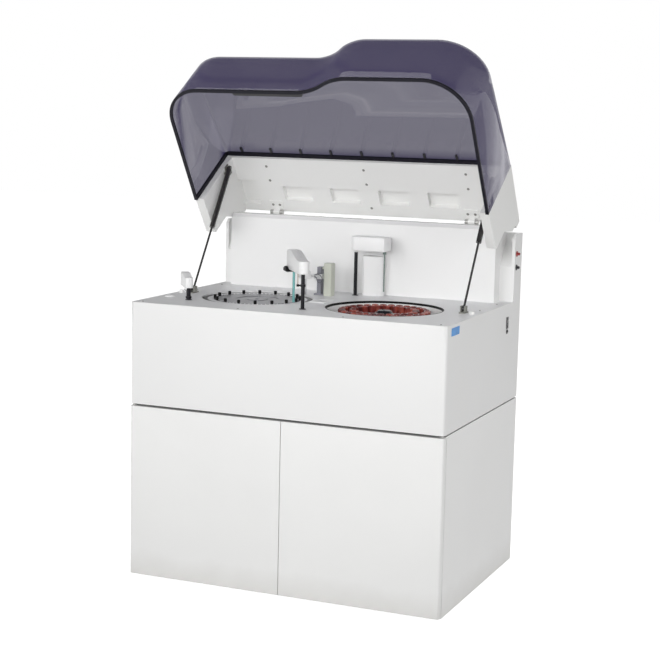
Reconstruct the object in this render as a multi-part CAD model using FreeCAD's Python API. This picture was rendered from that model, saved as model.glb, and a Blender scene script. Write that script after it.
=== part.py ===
# Chemistry analyzer: a two-door cabinet, an instrument housing with two turning discs and
# three arms on its deck, and a large smoked lid, modelled open as in the photograph.
import FreeCAD, Part
import math
import os
from FreeCAD import Vector

os.makedirs("parts", exist_ok=True)

# Whole machine, millimetres: the origin is the middle of the footprint on the floor
body_width = 900.0
body_depth = 635.0
cabinet_top = 478.0
seam_gap = 4.0
deck_height = 760.0
corner_radius = 10.0

# Clearances and counts shared by all pieces
moving_gap = 0.3
shaft_gap = 0.05
overrun = 5.0
facet_count = 10

half_width = body_width / 2
half_depth = body_depth / 2
front_y = -half_depth
rear_y = half_depth
housing_base = cabinet_top + seam_gap

# Cabinet
cabinet_wall = 15.0
cabinet_skirt_gap = 2.0
floor_height = 22.0
door_thickness = 20.0
door_skin = 2.0
door_gap = 2.0
door_edge_radius = 6.0
door_base = 6.0
pivot_inset = 4.5
pivot_depth = 2.5
pivot_plate = 2.0
pivot_pin_radius = 2.0
pivot_pin_reach = 6.0
door_side_gap = 3.0
mullion_width = 40.0
mullion_thickness = 3.0
rear_plate = 3.0

# Instrument housing
housing_wall = 4.0
deck_thickness = 4.0
ledge_width = 8.0
ledge_height = 8.0
crease_step = 1.5
crease_left_drop = 50.0
crease_low_drop = 80.0
crease_right_drop = 38.0
crease_low_x = -20.0

# Rear housing behind the deck: heights over the deck, depths from the rear
rear_box_depth = 69.5
rear_box_rise = 190.0
rear_chamfer_rise = 98.0
rear_slope_rise = 165.0
rear_top_depth = 20.5
rear_wall = 3.0
fin_thickness = 9.0
hood_depth = 48.0
hood_side_gap = 42.0
hood_rise = 212.0
hood_low_rise = 198.0
hood_shelf_depth = 50.0
hood_bevel = 10.0

rear_box_y = rear_y - rear_box_depth
rear_box_top = deck_height + rear_box_rise
rear_chamfer_z = deck_height + rear_chamfer_rise
rear_slope_top = deck_height + rear_slope_rise
rear_top_y = rear_y - rear_top_depth
hood_y = rear_box_y - hood_depth
hood_half_width = half_width - hood_side_gap
hood_top = deck_height + hood_rise
hood_low_top = deck_height + hood_low_rise
hood_step_y = hood_y + hood_shelf_depth

# Lid, in the closed position: the hinge axis lies along X
hinge_y = rear_top_y
hinge_rise = 214.0
hinge_z = deck_height + hinge_rise
open_angle = 57.0
lid_side_gap = 11.0
lid_half_width = half_width - lid_side_gap
lid_rise = 245.0
lid_top = deck_height + lid_rise
rim_rise = 14.0
lid_rim = deck_height + rim_rise
frame_depth = 185.0
frame_front_y = hinge_y - frame_depth
frame_overhang = 5.0
frame_rear_y = hinge_y + frame_overhang
frame_wall = 26.0
frame_top_thickness = 20.0
cover_wall = 4.0
cover_top_slope = 8.6
cover_corner_radius = 125.0
cover_left_radius = 105.0
cover_edge_radius = 14.0
cover_inner_bevel = 8.0
cover_front_inset = 59.5
cover_left_front = front_y + cover_front_inset
cover_step = 45.0
cover_lean = 20.0
cover_lean_height = 165.0
wave_start = -45.0
wave_run = 160.0

# Lid supports
spring_side_gap = 37.0
spring_x = lid_half_width - spring_side_gap
spring_foot_depth = 345.0
spring_foot_y = hinge_y - spring_foot_depth
spring_foot_rise = 11.0
spring_foot_z = deck_height + spring_foot_rise
stud_depth = 179.0
stud_y = hinge_y - stud_depth
stud_rise = 179.0
stud_z = deck_height + stud_rise
spring_rod_radius = 3.0
spring_barrel_radius = 7.5
spring_barrel_length = 193.0
stud_offset = 6.0

# Discs
reaction_x = -198.0
reaction_y = -54.0
reaction_opening = 155.0
reagent_x = 189.0
reagent_y = -76.0
reagent_opening = 160.0
disc_shaft_radius = 8.0
well_depth = 74.0
well_floor = deck_height - well_depth
well_wall = 5.0

# Arms
arm_shaft_radius = 5.0
sampler_x = 9.0
sampler_y = -211.0
sampler_angle = 126.7
sampler_reach = 112.0
reagent_arm_x = 13.0
reagent_arm_gap = 52.0
reagent_arm_y = hood_y - reagent_arm_gap
reagent_arm_angle = -2.5
reagent_arm_reach = 88.0
mixer_x = -337.0
mixer_y = -199.0
mixer_angle = 128.0
mixer_shaft_radius = 6.0
mixer_reach = 60.0

# Wash station
wash_x = -78.0
wash_gap = 93.0
wash_y = hood_y - wash_gap
wash_head_x = -100.0
wash_head_gap = 63.0
wash_head_y = wash_y - wash_head_gap


def box(x0, x1, y0, y1, z0, z1):
    return Part.makeBox(x1 - x0, y1 - y0, z1 - z0, Vector(x0, y0, z0))


def upright(x, y, z0, z1, radius):
    return Part.makeCylinder(radius, z1 - z0, Vector(x, y, z0))


def crosswise(x0, x1, y, z, radius):
    return Part.makeCylinder(radius, x1 - x0, Vector(x0, y, z), Vector(1, 0, 0))


def faceted(x, y, z0, z1, radius):
    # An upright with a few flat sides, for the pieces that stand in rings
    corners = [Vector(*on_circle(x, y, radius, index * 360.0 / facet_count), z0)
               for index in range(facet_count)]
    return Part.Face(Part.makePolygon(corners + corners[:1])).extrude(Vector(0, 0, z1 - z0))


def side_prism(outline, x0, x1):
    corners = [Vector(x0, y, z) for y, z in outline]
    face = Part.Face(Part.makePolygon(corners + corners[:1]))
    return face.extrude(Vector(x1 - x0, 0, 0))


def turned(outline, x=0, y=0):
    corners = [Vector(x + r, y, z) for r, z in outline]
    face = Part.Face(Part.makePolygon(corners + corners[:1]))
    return face.revolve(Vector(x, y, 0), Vector(0, 0, 1), 360)


def mirrored(shape):
    return shape.mirror(Vector(0, 0, 0), Vector(1, 0, 0))


def both_sides(shape):
    return [shape, mirrored(shape)]


def fuse_all(shapes):
    return shapes[0].multiFuse(shapes[1:]).removeSplitter()


def rounded_uprights(shape, radius, wanted):
    # Rounds the vertical edges whose x and y satisfy the test
    edges = []
    for edge in shape.Edges:
        ends = [vertex.Point for vertex in edge.Vertexes]
        if len(ends) == 2 and (ends[0] - ends[1]).Length > moving_gap:
            same_place = abs(ends[0].x - ends[1].x) + abs(ends[0].y - ends[1].y) < shaft_gap
            if same_place and wanted(ends[0].x, ends[0].y):
                edges.append(edge)
    return shape.makeFillet(radius, edges)


def placed(shape, x, y, angle):
    # Shapes drawn along +Y are turned to the compass angle, measured from +X
    result = shape.copy()
    result.rotate(Vector(0, 0, 0), Vector(0, 0, 1), angle - 90)
    result.translate(Vector(x, y, 0))
    return result


def on_circle(x, y, radius, angle):
    turn = math.radians(angle)
    return x + radius * math.cos(turn), y + radius * math.sin(turn)


def opened(shape):
    result = shape.copy()
    result.rotate(Vector(0, hinge_y, hinge_z), Vector(1, 0, 0), -open_angle)
    return result


def opened_point(y, z):
    turn = math.radians(open_angle)
    across = y - hinge_y
    above = z - hinge_z
    new_y = hinge_y + across * math.cos(turn) + above * math.sin(turn)
    new_z = hinge_z - across * math.sin(turn) + above * math.cos(turn)
    return new_y, new_z


def save(name, *solids):
    shape = solids[0] if len(solids) == 1 else Part.makeCompound(list(solids))
    shape.exportStep("parts/%s.step" % name)


# Cabinet: double-skinned box, open at the front, on levelling feet

door_back_y = front_y + door_thickness
shell_front_y = door_back_y + door_side_gap
shell_rear_y = rear_y - rear_plate
cabinet_inner_x = half_width - cabinet_wall
cabinet_floor_top = floor_height + cabinet_wall
cabinet_inner_top = cabinet_top - cabinet_wall


def cabinet_shell():
    outer = box(-half_width, half_width, shell_front_y, shell_rear_y, cabinet_skirt_gap, cabinet_top)
    inner = box(-cabinet_inner_x, cabinet_inner_x, shell_front_y - overrun, shell_rear_y + overrun,
                cabinet_floor_top, cabinet_inner_top)
    recess = box(-cabinet_inner_x, cabinet_inner_x, shell_front_y + cabinet_wall,
                 shell_rear_y - cabinet_wall, 0, floor_height)
    half_mullion = mullion_width / 2
    mullion = box(-half_mullion, half_mullion, shell_front_y, shell_front_y + mullion_thickness,
                  cabinet_floor_top, cabinet_inner_top)
    return fuse_all([outer.cut(inner).cut(recess), mullion])


def cabinet_rear_panel():
    slot_half_length = 60.0
    slot_height = 5.0
    slot_pitch = 16.0
    slot_count = 6
    first_slot = 320.0
    panel = box(-half_width, half_width, shell_rear_y, rear_y, cabinet_skirt_gap, cabinet_top)
    for index in range(slot_count):
        z = first_slot + index * slot_pitch
        panel = panel.cut(box(-slot_half_length, slot_half_length, shell_rear_y - overrun,
                              rear_y + overrun, z, z + slot_height))
    return panel


def levelling_feet():
    # One near each corner, and a fifth under the middle of the wide floor
    pad_radius = 20.0
    pad_height = 8.0
    stem_radius = 6.0
    inset = 60.0
    places = [(x, y) for x in (-half_width + inset, half_width - inset)
              for y in (front_y + door_thickness + inset, rear_y - inset)]
    outline = [(0, 0), (pad_radius, 0), (pad_radius, pad_height), (stem_radius, pad_height),
               (stem_radius, floor_height), (0, floor_height)]
    return [turned(outline, x, y) for x, y in places + [(0, 0)]]


pivot_x = half_width - pivot_inset
pivot_y = door_back_y - pivot_depth
pivot_low_top = door_base - moving_gap
pivot_high_base = cabinet_top - pivot_plate
door_top = pivot_high_base - moving_gap


def door_pivots():
    # A plate under and over each door's outer corner, with a pin into the door's flange
    plate_inner_x = half_width - cabinet_wall
    plate_front_y = pivot_y - pivot_inset
    brackets = []
    low_plate = box(plate_inner_x, half_width, plate_front_y, shell_front_y,
                    pivot_low_top - pivot_plate, pivot_low_top)
    low_pin = upright(pivot_x, pivot_y, pivot_low_top, pivot_low_top + pivot_pin_reach, pivot_pin_radius)
    high_plate = box(plate_inner_x, half_width, plate_front_y, shell_front_y,
                     pivot_high_base, cabinet_top)
    high_pin = upright(pivot_x, pivot_y, pivot_high_base - pivot_pin_reach, pivot_high_base,
                       pivot_pin_radius)
    for bracket in (low_plate.fuse(low_pin), high_plate.fuse(high_pin)):
        brackets.extend(both_sides(bracket))
    return brackets


def cabinet_door():
    # The right door: a folded steel pan, open at the back, with its pivots in the flanges
    inner_x = door_gap / 2
    pan = box(inner_x, half_width, front_y, door_back_y, door_base, door_top)
    pan = rounded_uprights(pan, door_edge_radius, lambda x, y: x > pivot_x and y < pivot_y)
    hollow = box(inner_x + door_skin, half_width - door_skin, front_y + door_skin,
                 door_back_y + overrun, door_base + door_skin, door_top - door_skin)
    hole = upright(pivot_x, pivot_y, 0, cabinet_top, pivot_pin_radius + shaft_gap)
    boss_radius = pivot_inset - shaft_gap
    low_boss = upright(pivot_x, pivot_y, door_base, door_base + pivot_pin_reach, boss_radius)
    high_boss = upright(pivot_x, pivot_y, door_top - pivot_pin_reach, door_top, boss_radius)
    return fuse_all([pan.cut(hollow), low_boss, high_boss]).cut(hole)


def door_catches():
    # Push latches on the mullion behind the doors' free edges
    half_length = 25.0
    width = 12.0
    offset = 4.0
    depth = door_side_gap + door_thickness - door_skin - moving_gap
    drop = 60.0
    top = cabinet_inner_top - drop
    latch = box(offset, offset + width, shell_front_y - depth, shell_front_y,
                top - half_length * 2, top)
    return both_sides(latch)


def fluid_tank():
    # A moulded canister with rounded corners and a screw cap
    x = 225.0
    y = 80.0
    half_x = 120.0
    half_y = 110.0
    height = 300.0
    cap_radius = 30.0
    cap_height = 22.0
    radius = 20.0
    body = box(x - half_x, x + half_x, y - half_y, y + half_y,
               cabinet_floor_top, cabinet_floor_top + height)
    body = rounded_uprights(body, radius, lambda px, py: True)
    cap_z = cabinet_floor_top + height
    cap = upright(x, y, cap_z, cap_z + cap_height, cap_radius)
    return [body, cap]


# Instrument housing: tray, moulded cover with the wave crease, rear panel and deck

inner_half_width = half_width - housing_wall
inner_front_y = front_y + housing_wall
deck_base = deck_height - deck_thickness
tray_thickness = 4.0
tray_top = housing_base + tray_thickness


def upper_tray():
    plinth_inset = 10.0
    plinth = box(-half_width + plinth_inset, half_width - plinth_inset, front_y + plinth_inset,
                 rear_y - plinth_inset, cabinet_top, housing_base)
    tray = box(-inner_half_width + moving_gap, inner_half_width - moving_gap,
               inner_front_y + moving_gap, rear_y - housing_wall - moving_gap,
               housing_base, tray_top)
    tray = rounded_uprights(tray, corner_radius - housing_wall, lambda x, y: y < 0)
    return fuse_all([plinth, tray])


def crease_region():
    # The lower part of the front face, set back below a long shallow wave
    left = Vector(-half_width - overrun, front_y - overrun, deck_height - crease_left_drop)
    low = Vector(crease_low_x, front_y - overrun, deck_height - crease_low_drop)
    right = Vector(half_width + overrun, front_y - overrun, deck_height - crease_right_drop)
    base_right = Vector(right.x, right.y, housing_base - overrun)
    base_left = Vector(left.x, left.y, housing_base - overrun)
    edges = [Part.Arc(left, low, right).toShape(), Part.makeLine(right, base_right),
             Part.makeLine(base_right, base_left), Part.makeLine(base_left, left)]
    return Part.Face(Part.Wire(edges)).extrude(Vector(0, overrun + crease_step, 0))


def upper_housing():
    outer = box(-half_width, half_width, front_y, rear_y, housing_base, deck_height)
    outer = rounded_uprights(outer, corner_radius, lambda x, y: y < 0)
    inner = box(-inner_half_width, inner_half_width, inner_front_y, rear_y + overrun,
                housing_base - overrun, deck_height + overrun)
    inner = rounded_uprights(inner, corner_radius - housing_wall, lambda x, y: y < 0)
    shell = outer.cut(crease_region()).cut(inner)
    ledge_x = inner_half_width - ledge_width
    ledge_outer = box(-inner_half_width, inner_half_width, inner_front_y, rear_y - housing_wall,
                      deck_base - ledge_height, deck_base)
    ledge_outer = rounded_uprights(ledge_outer, corner_radius - housing_wall, lambda x, y: y < 0)
    ledge_inner = box(-ledge_x, ledge_x, inner_front_y + ledge_width, rear_y + overrun,
                      housing_base, deck_height)
    slot = switch_box(moving_gap)
    return fuse_all([shell, ledge_outer.cut(ledge_inner)]).cut(slot)


def upper_rear_panel():
    panel = box(-inner_half_width + moving_gap, inner_half_width - moving_gap,
                rear_y - housing_wall, rear_y, tray_top, deck_base - moving_gap)
    return panel.cut(inlet_box(moving_gap))


inlet_x = -340.0
inlet_z = 540.0
inlet_half_width = 14.0
inlet_half_height = 12.0
inlet_depth = 25.0


def inlet_box(extra):
    return box(inlet_x - inlet_half_width - extra, inlet_x + inlet_half_width + extra,
               rear_y - inlet_depth, rear_y + overrun,
               inlet_z - inlet_half_height - extra, inlet_z + inlet_half_height + extra)


def power_inlet():
    # An appliance inlet for a removable mains lead: flange, shroud and three pins
    flange = 4.0
    flange_thickness = 2.0
    wall = 3.0
    pin_half = 1.5
    pin_pitch = 7.0
    shroud = box(inlet_x - inlet_half_width, inlet_x + inlet_half_width, rear_y - inlet_depth,
                 rear_y, inlet_z - inlet_half_height, inlet_z + inlet_half_height)
    rim = box(inlet_x - inlet_half_width - flange, inlet_x + inlet_half_width + flange, rear_y,
              rear_y + flange_thickness, inlet_z - inlet_half_height - flange,
              inlet_z + inlet_half_height + flange)
    socket = box(inlet_x - inlet_half_width + wall, inlet_x + inlet_half_width - wall,
                 rear_y - inlet_depth + wall, rear_y + overrun,
                 inlet_z - inlet_half_height + wall, inlet_z + inlet_half_height - wall)
    body = shroud.fuse(rim).cut(socket)
    pins = []
    for step in (-1, 0, 1):
        x = inlet_x + step * pin_pitch
        pins.append(box(x - pin_half, x + pin_half, rear_y - inlet_depth, rear_y - wall,
                        inlet_z - pin_half, inlet_z + pin_half))
    return fuse_all([body] + pins)


def reaction_circle(radius, z0, z1):
    return upright(reaction_x, reaction_y, z0, z1, radius)


def reagent_circle(radius, z0, z1):
    return upright(reagent_x, reagent_y, z0, z1, radius)


bush_radius = 9.0
bush_rise = 1.5
bush_length = 25.0
shaft_places = [(sampler_x, sampler_y, arm_shaft_radius),
                (reagent_arm_x, reagent_arm_y, arm_shaft_radius),
                (mixer_x, mixer_y, mixer_shaft_radius)]


def deck_plate():
    plate = box(-inner_half_width + moving_gap, inner_half_width - moving_gap,
                inner_front_y + moving_gap, rear_y, deck_base, deck_height)
    plate = rounded_uprights(plate, corner_radius - housing_wall, lambda x, y: y < 0)
    low = deck_base - overrun
    high = deck_height + overrun
    plate = plate.cut(reaction_circle(reaction_opening, low, high))
    plate = plate.cut(reagent_circle(reagent_opening, low, high))
    for x, y, radius in shaft_places:
        plate = plate.cut(upright(x, y, low, high, bush_radius + shaft_gap))
    return plate


def arm_bushes():
    # Guide bushes for the three shafts, their flanges under the deck
    flange_radius = 16.0
    flange_thickness = 3.0
    base = deck_base - bush_length
    top = deck_height + bush_rise
    bushes = []
    for x, y, radius in shaft_places:
        bore = radius + shaft_gap
        outline = [(bore, base), (bush_radius, base), (bush_radius, deck_base - flange_thickness),
                   (flange_radius, deck_base - flange_thickness), (flange_radius, deck_base),
                   (bush_radius, deck_base), (bush_radius, top), (bore, top)]
        bushes.append(turned(outline, x, y))
    return bushes


# Rear housing, the hood in front of it and the fluid ports

port_depth = 51.5
port_y = rear_y - port_depth
port_rises = (134.0, 96.0)
port_heights = [deck_height + rise for rise in port_rises]
port_radius = 5.0


def rear_housing():
    profile = [(rear_box_y, deck_height), (rear_box_y, rear_chamfer_z), (rear_top_y, rear_slope_top),
               (rear_top_y, rear_box_top), (rear_y, rear_box_top), (rear_y, deck_height)]
    inner_profile = [(rear_box_y + rear_wall, deck_height - overrun),
                     (rear_box_y + rear_wall, rear_chamfer_z - rear_wall / 2),
                     (rear_top_y + rear_wall, rear_slope_top - rear_wall / 2),
                     (rear_top_y + rear_wall, rear_box_top - rear_wall),
                     (rear_y - rear_wall, rear_box_top - rear_wall),
                     (rear_y - rear_wall, deck_height - overrun)]
    inner_x = half_width - fin_thickness
    bevel = 12.0
    fin_profile = [(rear_box_y, deck_height), (rear_box_y, rear_box_top - bevel),
                   (rear_box_y + bevel, rear_box_top), (rear_y, rear_box_top), (rear_y, deck_height)]
    core = side_prism(profile, -inner_x, inner_x)
    fin = side_prism(fin_profile, inner_x, half_width)
    hollow = side_prism(inner_profile, -inner_x, inner_x)
    shell = fuse_all([core] + both_sides(fin)).cut(hollow)
    for z in port_heights:
        shell = shell.cut(crosswise(inner_x - overrun, half_width + overrun, port_y, z, port_radius))
    return shell


def back_wall():
    back_y = rear_box_y - moving_gap
    back_top_y = rear_top_y - moving_gap
    profile = [(hood_y, deck_height), (hood_y, hood_top - hood_bevel), (hood_y + hood_bevel, hood_top),
               (hood_step_y, hood_top), (hood_step_y + hood_bevel, hood_low_top),
               (back_top_y, hood_low_top), (back_top_y, rear_slope_top), (back_y, rear_chamfer_z),
               (back_y, deck_height)]
    inner_profile = [(hood_y + rear_wall, deck_height - overrun),
                     (hood_y + rear_wall, hood_top - hood_bevel - rear_wall / 2),
                     (hood_y + hood_bevel + rear_wall / 2, hood_top - rear_wall),
                     (hood_step_y - rear_wall / 2, hood_top - rear_wall),
                     (hood_step_y + hood_bevel - rear_wall / 2, hood_low_top - rear_wall),
                     (rear_top_y + overrun, hood_low_top - rear_wall),
                     (rear_top_y + overrun, deck_height - overrun)]
    outer = side_prism(profile, -hood_half_width, hood_half_width)
    inner = side_prism(inner_profile, -hood_half_width + rear_wall, hood_half_width - rear_wall)
    return outer.cut(inner)


def fluid_ports():
    # Hose fittings in the right fin: a flange, a barb and a stem through the fin
    flange_radius = 8.0
    flange_thickness = 2.0
    barb_radius = 4.0
    barb_length = 7.0
    bore_radius = 2.0
    inner_x = half_width - fin_thickness
    ports = []
    for z in port_heights:
        stem = crosswise(inner_x, half_width, port_y, z, port_radius)
        flange = crosswise(half_width, half_width + flange_thickness, port_y, z, flange_radius)
        barb = crosswise(half_width, half_width + flange_thickness + barb_length, port_y, z, barb_radius)
        bore = crosswise(half_width, half_width + flange_thickness + barb_length + overrun,
                         port_y, z, bore_radius)
        ports.append(fuse_all([stem, flange, barb]).cut(bore))
    return ports


# Power switch in the right side wall

switch_depth_in = 120.5
switch_y = rear_y - switch_depth_in
switch_drop = 52.5
switch_z = deck_height - switch_drop
switch_half_width = 6.0
switch_half_height = 14.5
switch_depth = 16.0
bezel_thickness = 1.5
bezel_lip = 2.0
rocker_gap = 0.4
switch_face = half_width + bezel_thickness
rocker_pin_radius = 1.0
rocker_axis_x = half_width - 4.0
rocker_tilt = 6.0


def switch_box(extra):
    return box(half_width - switch_depth, half_width + overrun,
               switch_y - switch_half_width - extra, switch_y + switch_half_width + extra,
               switch_z - switch_half_height - extra, switch_z + switch_half_height + extra)


def switch_bezel():
    wall = 1.5
    body = box(half_width - switch_depth, half_width, switch_y - switch_half_width,
               switch_y + switch_half_width, switch_z - switch_half_height,
               switch_z + switch_half_height)
    lip = box(half_width, switch_face, switch_y - switch_half_width - bezel_lip,
              switch_y + switch_half_width + bezel_lip, switch_z - switch_half_height - bezel_lip,
              switch_z + switch_half_height + bezel_lip)
    hollow = box(half_width - switch_depth + wall, switch_face + overrun,
                 switch_y - switch_half_width + wall, switch_y + switch_half_width - wall,
                 switch_z - switch_half_height + wall, switch_z + switch_half_height - wall)
    pin = Part.makeCylinder(rocker_pin_radius, 2 * switch_half_width,
                            Vector(rocker_axis_x, switch_y - switch_half_width, switch_z),
                            Vector(0, 1, 0))
    return fuse_all([body.fuse(lip).cut(hollow), pin])


def switch_rocker():
    # A two-lobed key rocking on the bezel's pin: its outer face is a shallow V
    wall = 1.5
    half_y = switch_half_width - wall - rocker_gap
    reach = switch_half_height - wall - rocker_gap
    face_rise = 3.5
    back_depth = 4.0
    corners = [(rocker_axis_x - back_depth, -back_depth), (switch_face - face_rise, -reach + rocker_gap),
               (switch_face + rocker_gap, -reach + face_rise), (switch_face - rocker_gap * 2, 0),
               (switch_face + rocker_gap, reach - face_rise), (switch_face - face_rise, reach - rocker_gap),
               (rocker_axis_x - back_depth, back_depth)]
    points = [Vector(x, switch_y - half_y, switch_z + z) for x, z in corners]
    key = Part.Face(Part.makePolygon(points + points[:1])).extrude(Vector(0, 2 * half_y, 0))
    hole = Part.makeCylinder(rocker_pin_radius + shaft_gap, 4 * half_y,
                             Vector(rocker_axis_x, switch_y - 2 * half_y, switch_z), Vector(0, 1, 0))
    key = key.cut(hole)
    key.rotate(Vector(rocker_axis_x, switch_y, switch_z), Vector(0, 1, 0), rocker_tilt)
    return key


# Wells under the deck, their trim, and the motors that turn the discs

well_flange = 8.0
well_flange_thickness = 4.0
disc_gap = 2.5
trim_thickness = 3.2
trim_depth = 6.0
hub_hole = 20.0
reaction_disc_radius = 150.0
reagent_disc_radius = 153.5


def reaction_well():
    bore = reaction_disc_radius + disc_gap
    outer = bore + well_wall
    outline = [(hub_hole, well_floor), (outer, well_floor), (outer, deck_base - well_flange_thickness),
               (outer + well_flange, deck_base - well_flange_thickness),
               (outer + well_flange, deck_base), (bore, deck_base),
               (bore, well_floor + well_wall), (hub_hole, well_floor + well_wall)]
    return turned(outline, reaction_x, reaction_y)


def reagent_well():
    trim_bore = reagent_opening - moving_gap - trim_thickness
    outer = reagent_opening + well_wall
    shoulder = deck_height - trim_depth
    outline = [(hub_hole, well_floor), (outer, well_floor), (outer, deck_base - well_flange_thickness),
               (outer + well_flange, deck_base - well_flange_thickness),
               (outer + well_flange, deck_base), (reagent_opening, deck_base),
               (reagent_opening, shoulder), (trim_bore, shoulder),
               (trim_bore, well_floor + well_wall), (hub_hole, well_floor + well_wall)]
    return turned(outline, reagent_x, reagent_y)


def well_trim():
    # A black liner ring that stands on the well's shoulder, flush with the deck
    outer = reagent_opening - moving_gap
    bore = outer - trim_thickness
    base = deck_height - trim_depth
    outline = [(bore, base), (outer, base), (outer, deck_height), (bore, deck_height)]
    return turned(outline, reagent_x, reagent_y)


rotor_depth = 60.0
rotor_base = deck_height - rotor_depth
reaction_disc_drop = 3.0
reagent_disc_drop = 22.0
reaction_disc_top = deck_height - reaction_disc_drop
reagent_disc_top = deck_height - reagent_disc_drop


def disc_motors():
    # A flanged motor under each well, its shaft up through the hub hole into the disc
    motor_radius = 28.0
    motor_length = 55.0
    flange_radius = 34.0
    flange_thickness = 4.0
    shaft_margin = 6.0
    motors = []
    for x, y, top in ((reaction_x, reaction_y, reaction_disc_top),
                      (reagent_x, reagent_y, reagent_disc_top)):
        shaft_top = top - shaft_margin
        outline = [(0, well_floor - flange_thickness - motor_length),
                   (motor_radius, well_floor - flange_thickness - motor_length),
                   (motor_radius, well_floor - flange_thickness),
                   (flange_radius, well_floor - flange_thickness), (flange_radius, well_floor),
                   (disc_shaft_radius, well_floor), (disc_shaft_radius, shaft_top), (0, shaft_top)]
        motors.append(turned(outline, x, y))
    return motors


# Reaction disc: grey disc, white cuvette ring and sixteen black knobs

knob_circle = 118.0
knob_count = 16
ring_inner_radius = 112.0
ring_thickness = 8.0
groove_half_width = 4.5
groove_depth = 3.0


def reaction_disc():
    hub_radius = 30.0
    plate = 4.0
    shelf_radius = 126.0
    bore = disc_shaft_radius + shaft_gap
    top = reaction_disc_top
    shelf = top - ring_thickness
    dish_radius = 60.0
    dish_depth = 1.5
    outline = [(bore, rotor_base), (hub_radius, rotor_base), (hub_radius, shelf - plate),
               (shelf_radius, shelf - plate), (shelf_radius, shelf), (ring_inner_radius, shelf),
               (ring_inner_radius, top), (dish_radius, top), (dish_radius, top - dish_depth),
               (hub_radius, top - dish_depth), (hub_radius, top), (bore, top)]
    return turned(outline, reaction_x, reaction_y)


def cuvette_ring():
    # The ring rests on the disc's shelf, its cuvette skirt hangs into the bath
    top = reaction_disc_top
    inner = ring_inner_radius + moving_gap
    skirt_inner = 132.0
    skirt_outer = 146.0
    skirt_drop = 30.0
    groove_inner = knob_circle - groove_half_width
    groove_outer = knob_circle + groove_half_width
    base = top - ring_thickness
    outline = [(inner, base), (skirt_inner, base), (skirt_inner, base - skirt_drop),
               (skirt_outer, base - skirt_drop), (skirt_outer, base), (reaction_disc_radius, base),
               (reaction_disc_radius, top), (groove_outer, top), (groove_outer, top - groove_depth),
               (groove_inner, top - groove_depth), (groove_inner, top), (inner, top)]
    return turned(outline, reaction_x, reaction_y)


def cuvette_knobs():
    knob_radius = 4.4
    knob_rise = 10.0
    base = reaction_disc_top - groove_depth
    knobs = []
    for index in range(knob_count):
        angle = index * 360.0 / knob_count
        x, y = on_circle(reaction_x, reaction_y, knob_circle, angle)
        knobs.append(faceted(x, y, base, reaction_disc_top + knob_rise, knob_radius))
    return knobs


# Reagent rotor: a white two-plate rotor with two rings of capped bottles

bottle_rings = [(115.0, 32), (85.0, 24)]
bottle_radius = 9.3
cap_radius = 9.8
cap_height = 18.0
rotor_plate = 4.0


def bottle_places():
    for circle, count in bottle_rings:
        for index in range(count):
            yield on_circle(reagent_x, reagent_y, circle, index * 360.0 / count)


def reagent_rotor():
    core_radius = 30.0
    floor_radius = 140.0
    bore = disc_shaft_radius + shaft_gap
    top = reagent_disc_top
    outline = [(bore, rotor_base), (floor_radius, rotor_base), (floor_radius, rotor_base + rotor_plate),
               (core_radius, rotor_base + rotor_plate), (core_radius, top - rotor_plate),
               (reagent_disc_radius, top - rotor_plate), (reagent_disc_radius, top), (bore, top)]
    rotor = turned(outline, reagent_x, reagent_y)
    holes = [faceted(x, y, top - rotor_plate - overrun, top + overrun, bottle_radius + moving_gap)
             for x, y in bottle_places()]
    return rotor.cut(Part.makeCompound(holes))


def reagent_bottles():
    base = rotor_base + rotor_plate
    return [faceted(x, y, base, reagent_disc_top + moving_gap, bottle_radius)
            for x, y in bottle_places()]


def bottle_caps():
    base = reagent_disc_top + moving_gap
    return [faceted(x, y, base, base + cap_height, cap_radius) for x, y in bottle_places()]


def rotor_hub():
    # The dark centre knob, with a finger groove round it
    top = reagent_disc_top
    radius = 23.0
    rise = 17.0
    neck_radius = 18.0
    neck_low = 5.0
    neck_high = 10.0
    outline = [(0, top), (radius, top), (radius, top + neck_low), (neck_radius, top + neck_low),
               (neck_radius, top + neck_high), (radius, top + neck_high),
               (radius - neck_low, top + rise), (0, top + rise)]
    return turned(outline, reagent_x, reagent_y)


# Arms: a driven pulley under the deck turns a shaft that also slides in it

pulley_radius = 20.0
pulley_height = 12.0
pulley_top = deck_base - bush_length - moving_gap
shaft_depth = 100.0
shaft_foot = deck_height - shaft_depth
sampler_collar_rise = 60.0
reagent_collar_rise = 124.0
mixer_collar_rise = 4.0


def arm_pulley(x, y):
    rim = 2.0
    bore = arm_shaft_radius + shaft_gap
    base = pulley_top - pulley_height
    outline = [(bore, base), (pulley_radius, base), (pulley_radius, base + rim),
               (pulley_radius - rim, base + rim), (pulley_radius - rim, pulley_top - rim),
               (pulley_radius, pulley_top - rim), (pulley_radius, pulley_top), (bore, pulley_top)]
    return turned(outline, x, y)


def arm_shaft(x, y, radius, collar_height, top):
    # A black shaft with a clamping collar above the deck
    collar_radius = radius + 2.0
    collar_thickness = 6.0
    base = deck_height + collar_height
    shaft = upright(x, y, shaft_foot, top, radius)
    collar = upright(x, y, base, base + collar_thickness, collar_radius)
    return fuse_all([shaft, collar])


sampler_underside = 94.0
sampler_shoulder = 128.0
sampler_crown = 147.0
head_socket = 26.0


def arm_cover(outline, half_thickness, corner, place, socket_radius):
    # A hood over an arm, round at its post end, with a socket for the shaft
    x, y, angle = place
    base = outline[0][1]
    cover = rounded_uprights(side_prism(outline, -half_thickness, half_thickness), corner,
                             lambda across, along: along < 0)
    socket = upright(x, y, base - overrun, base + head_socket, socket_radius)
    return placed(cover, x, y, angle).cut(socket)


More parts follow.
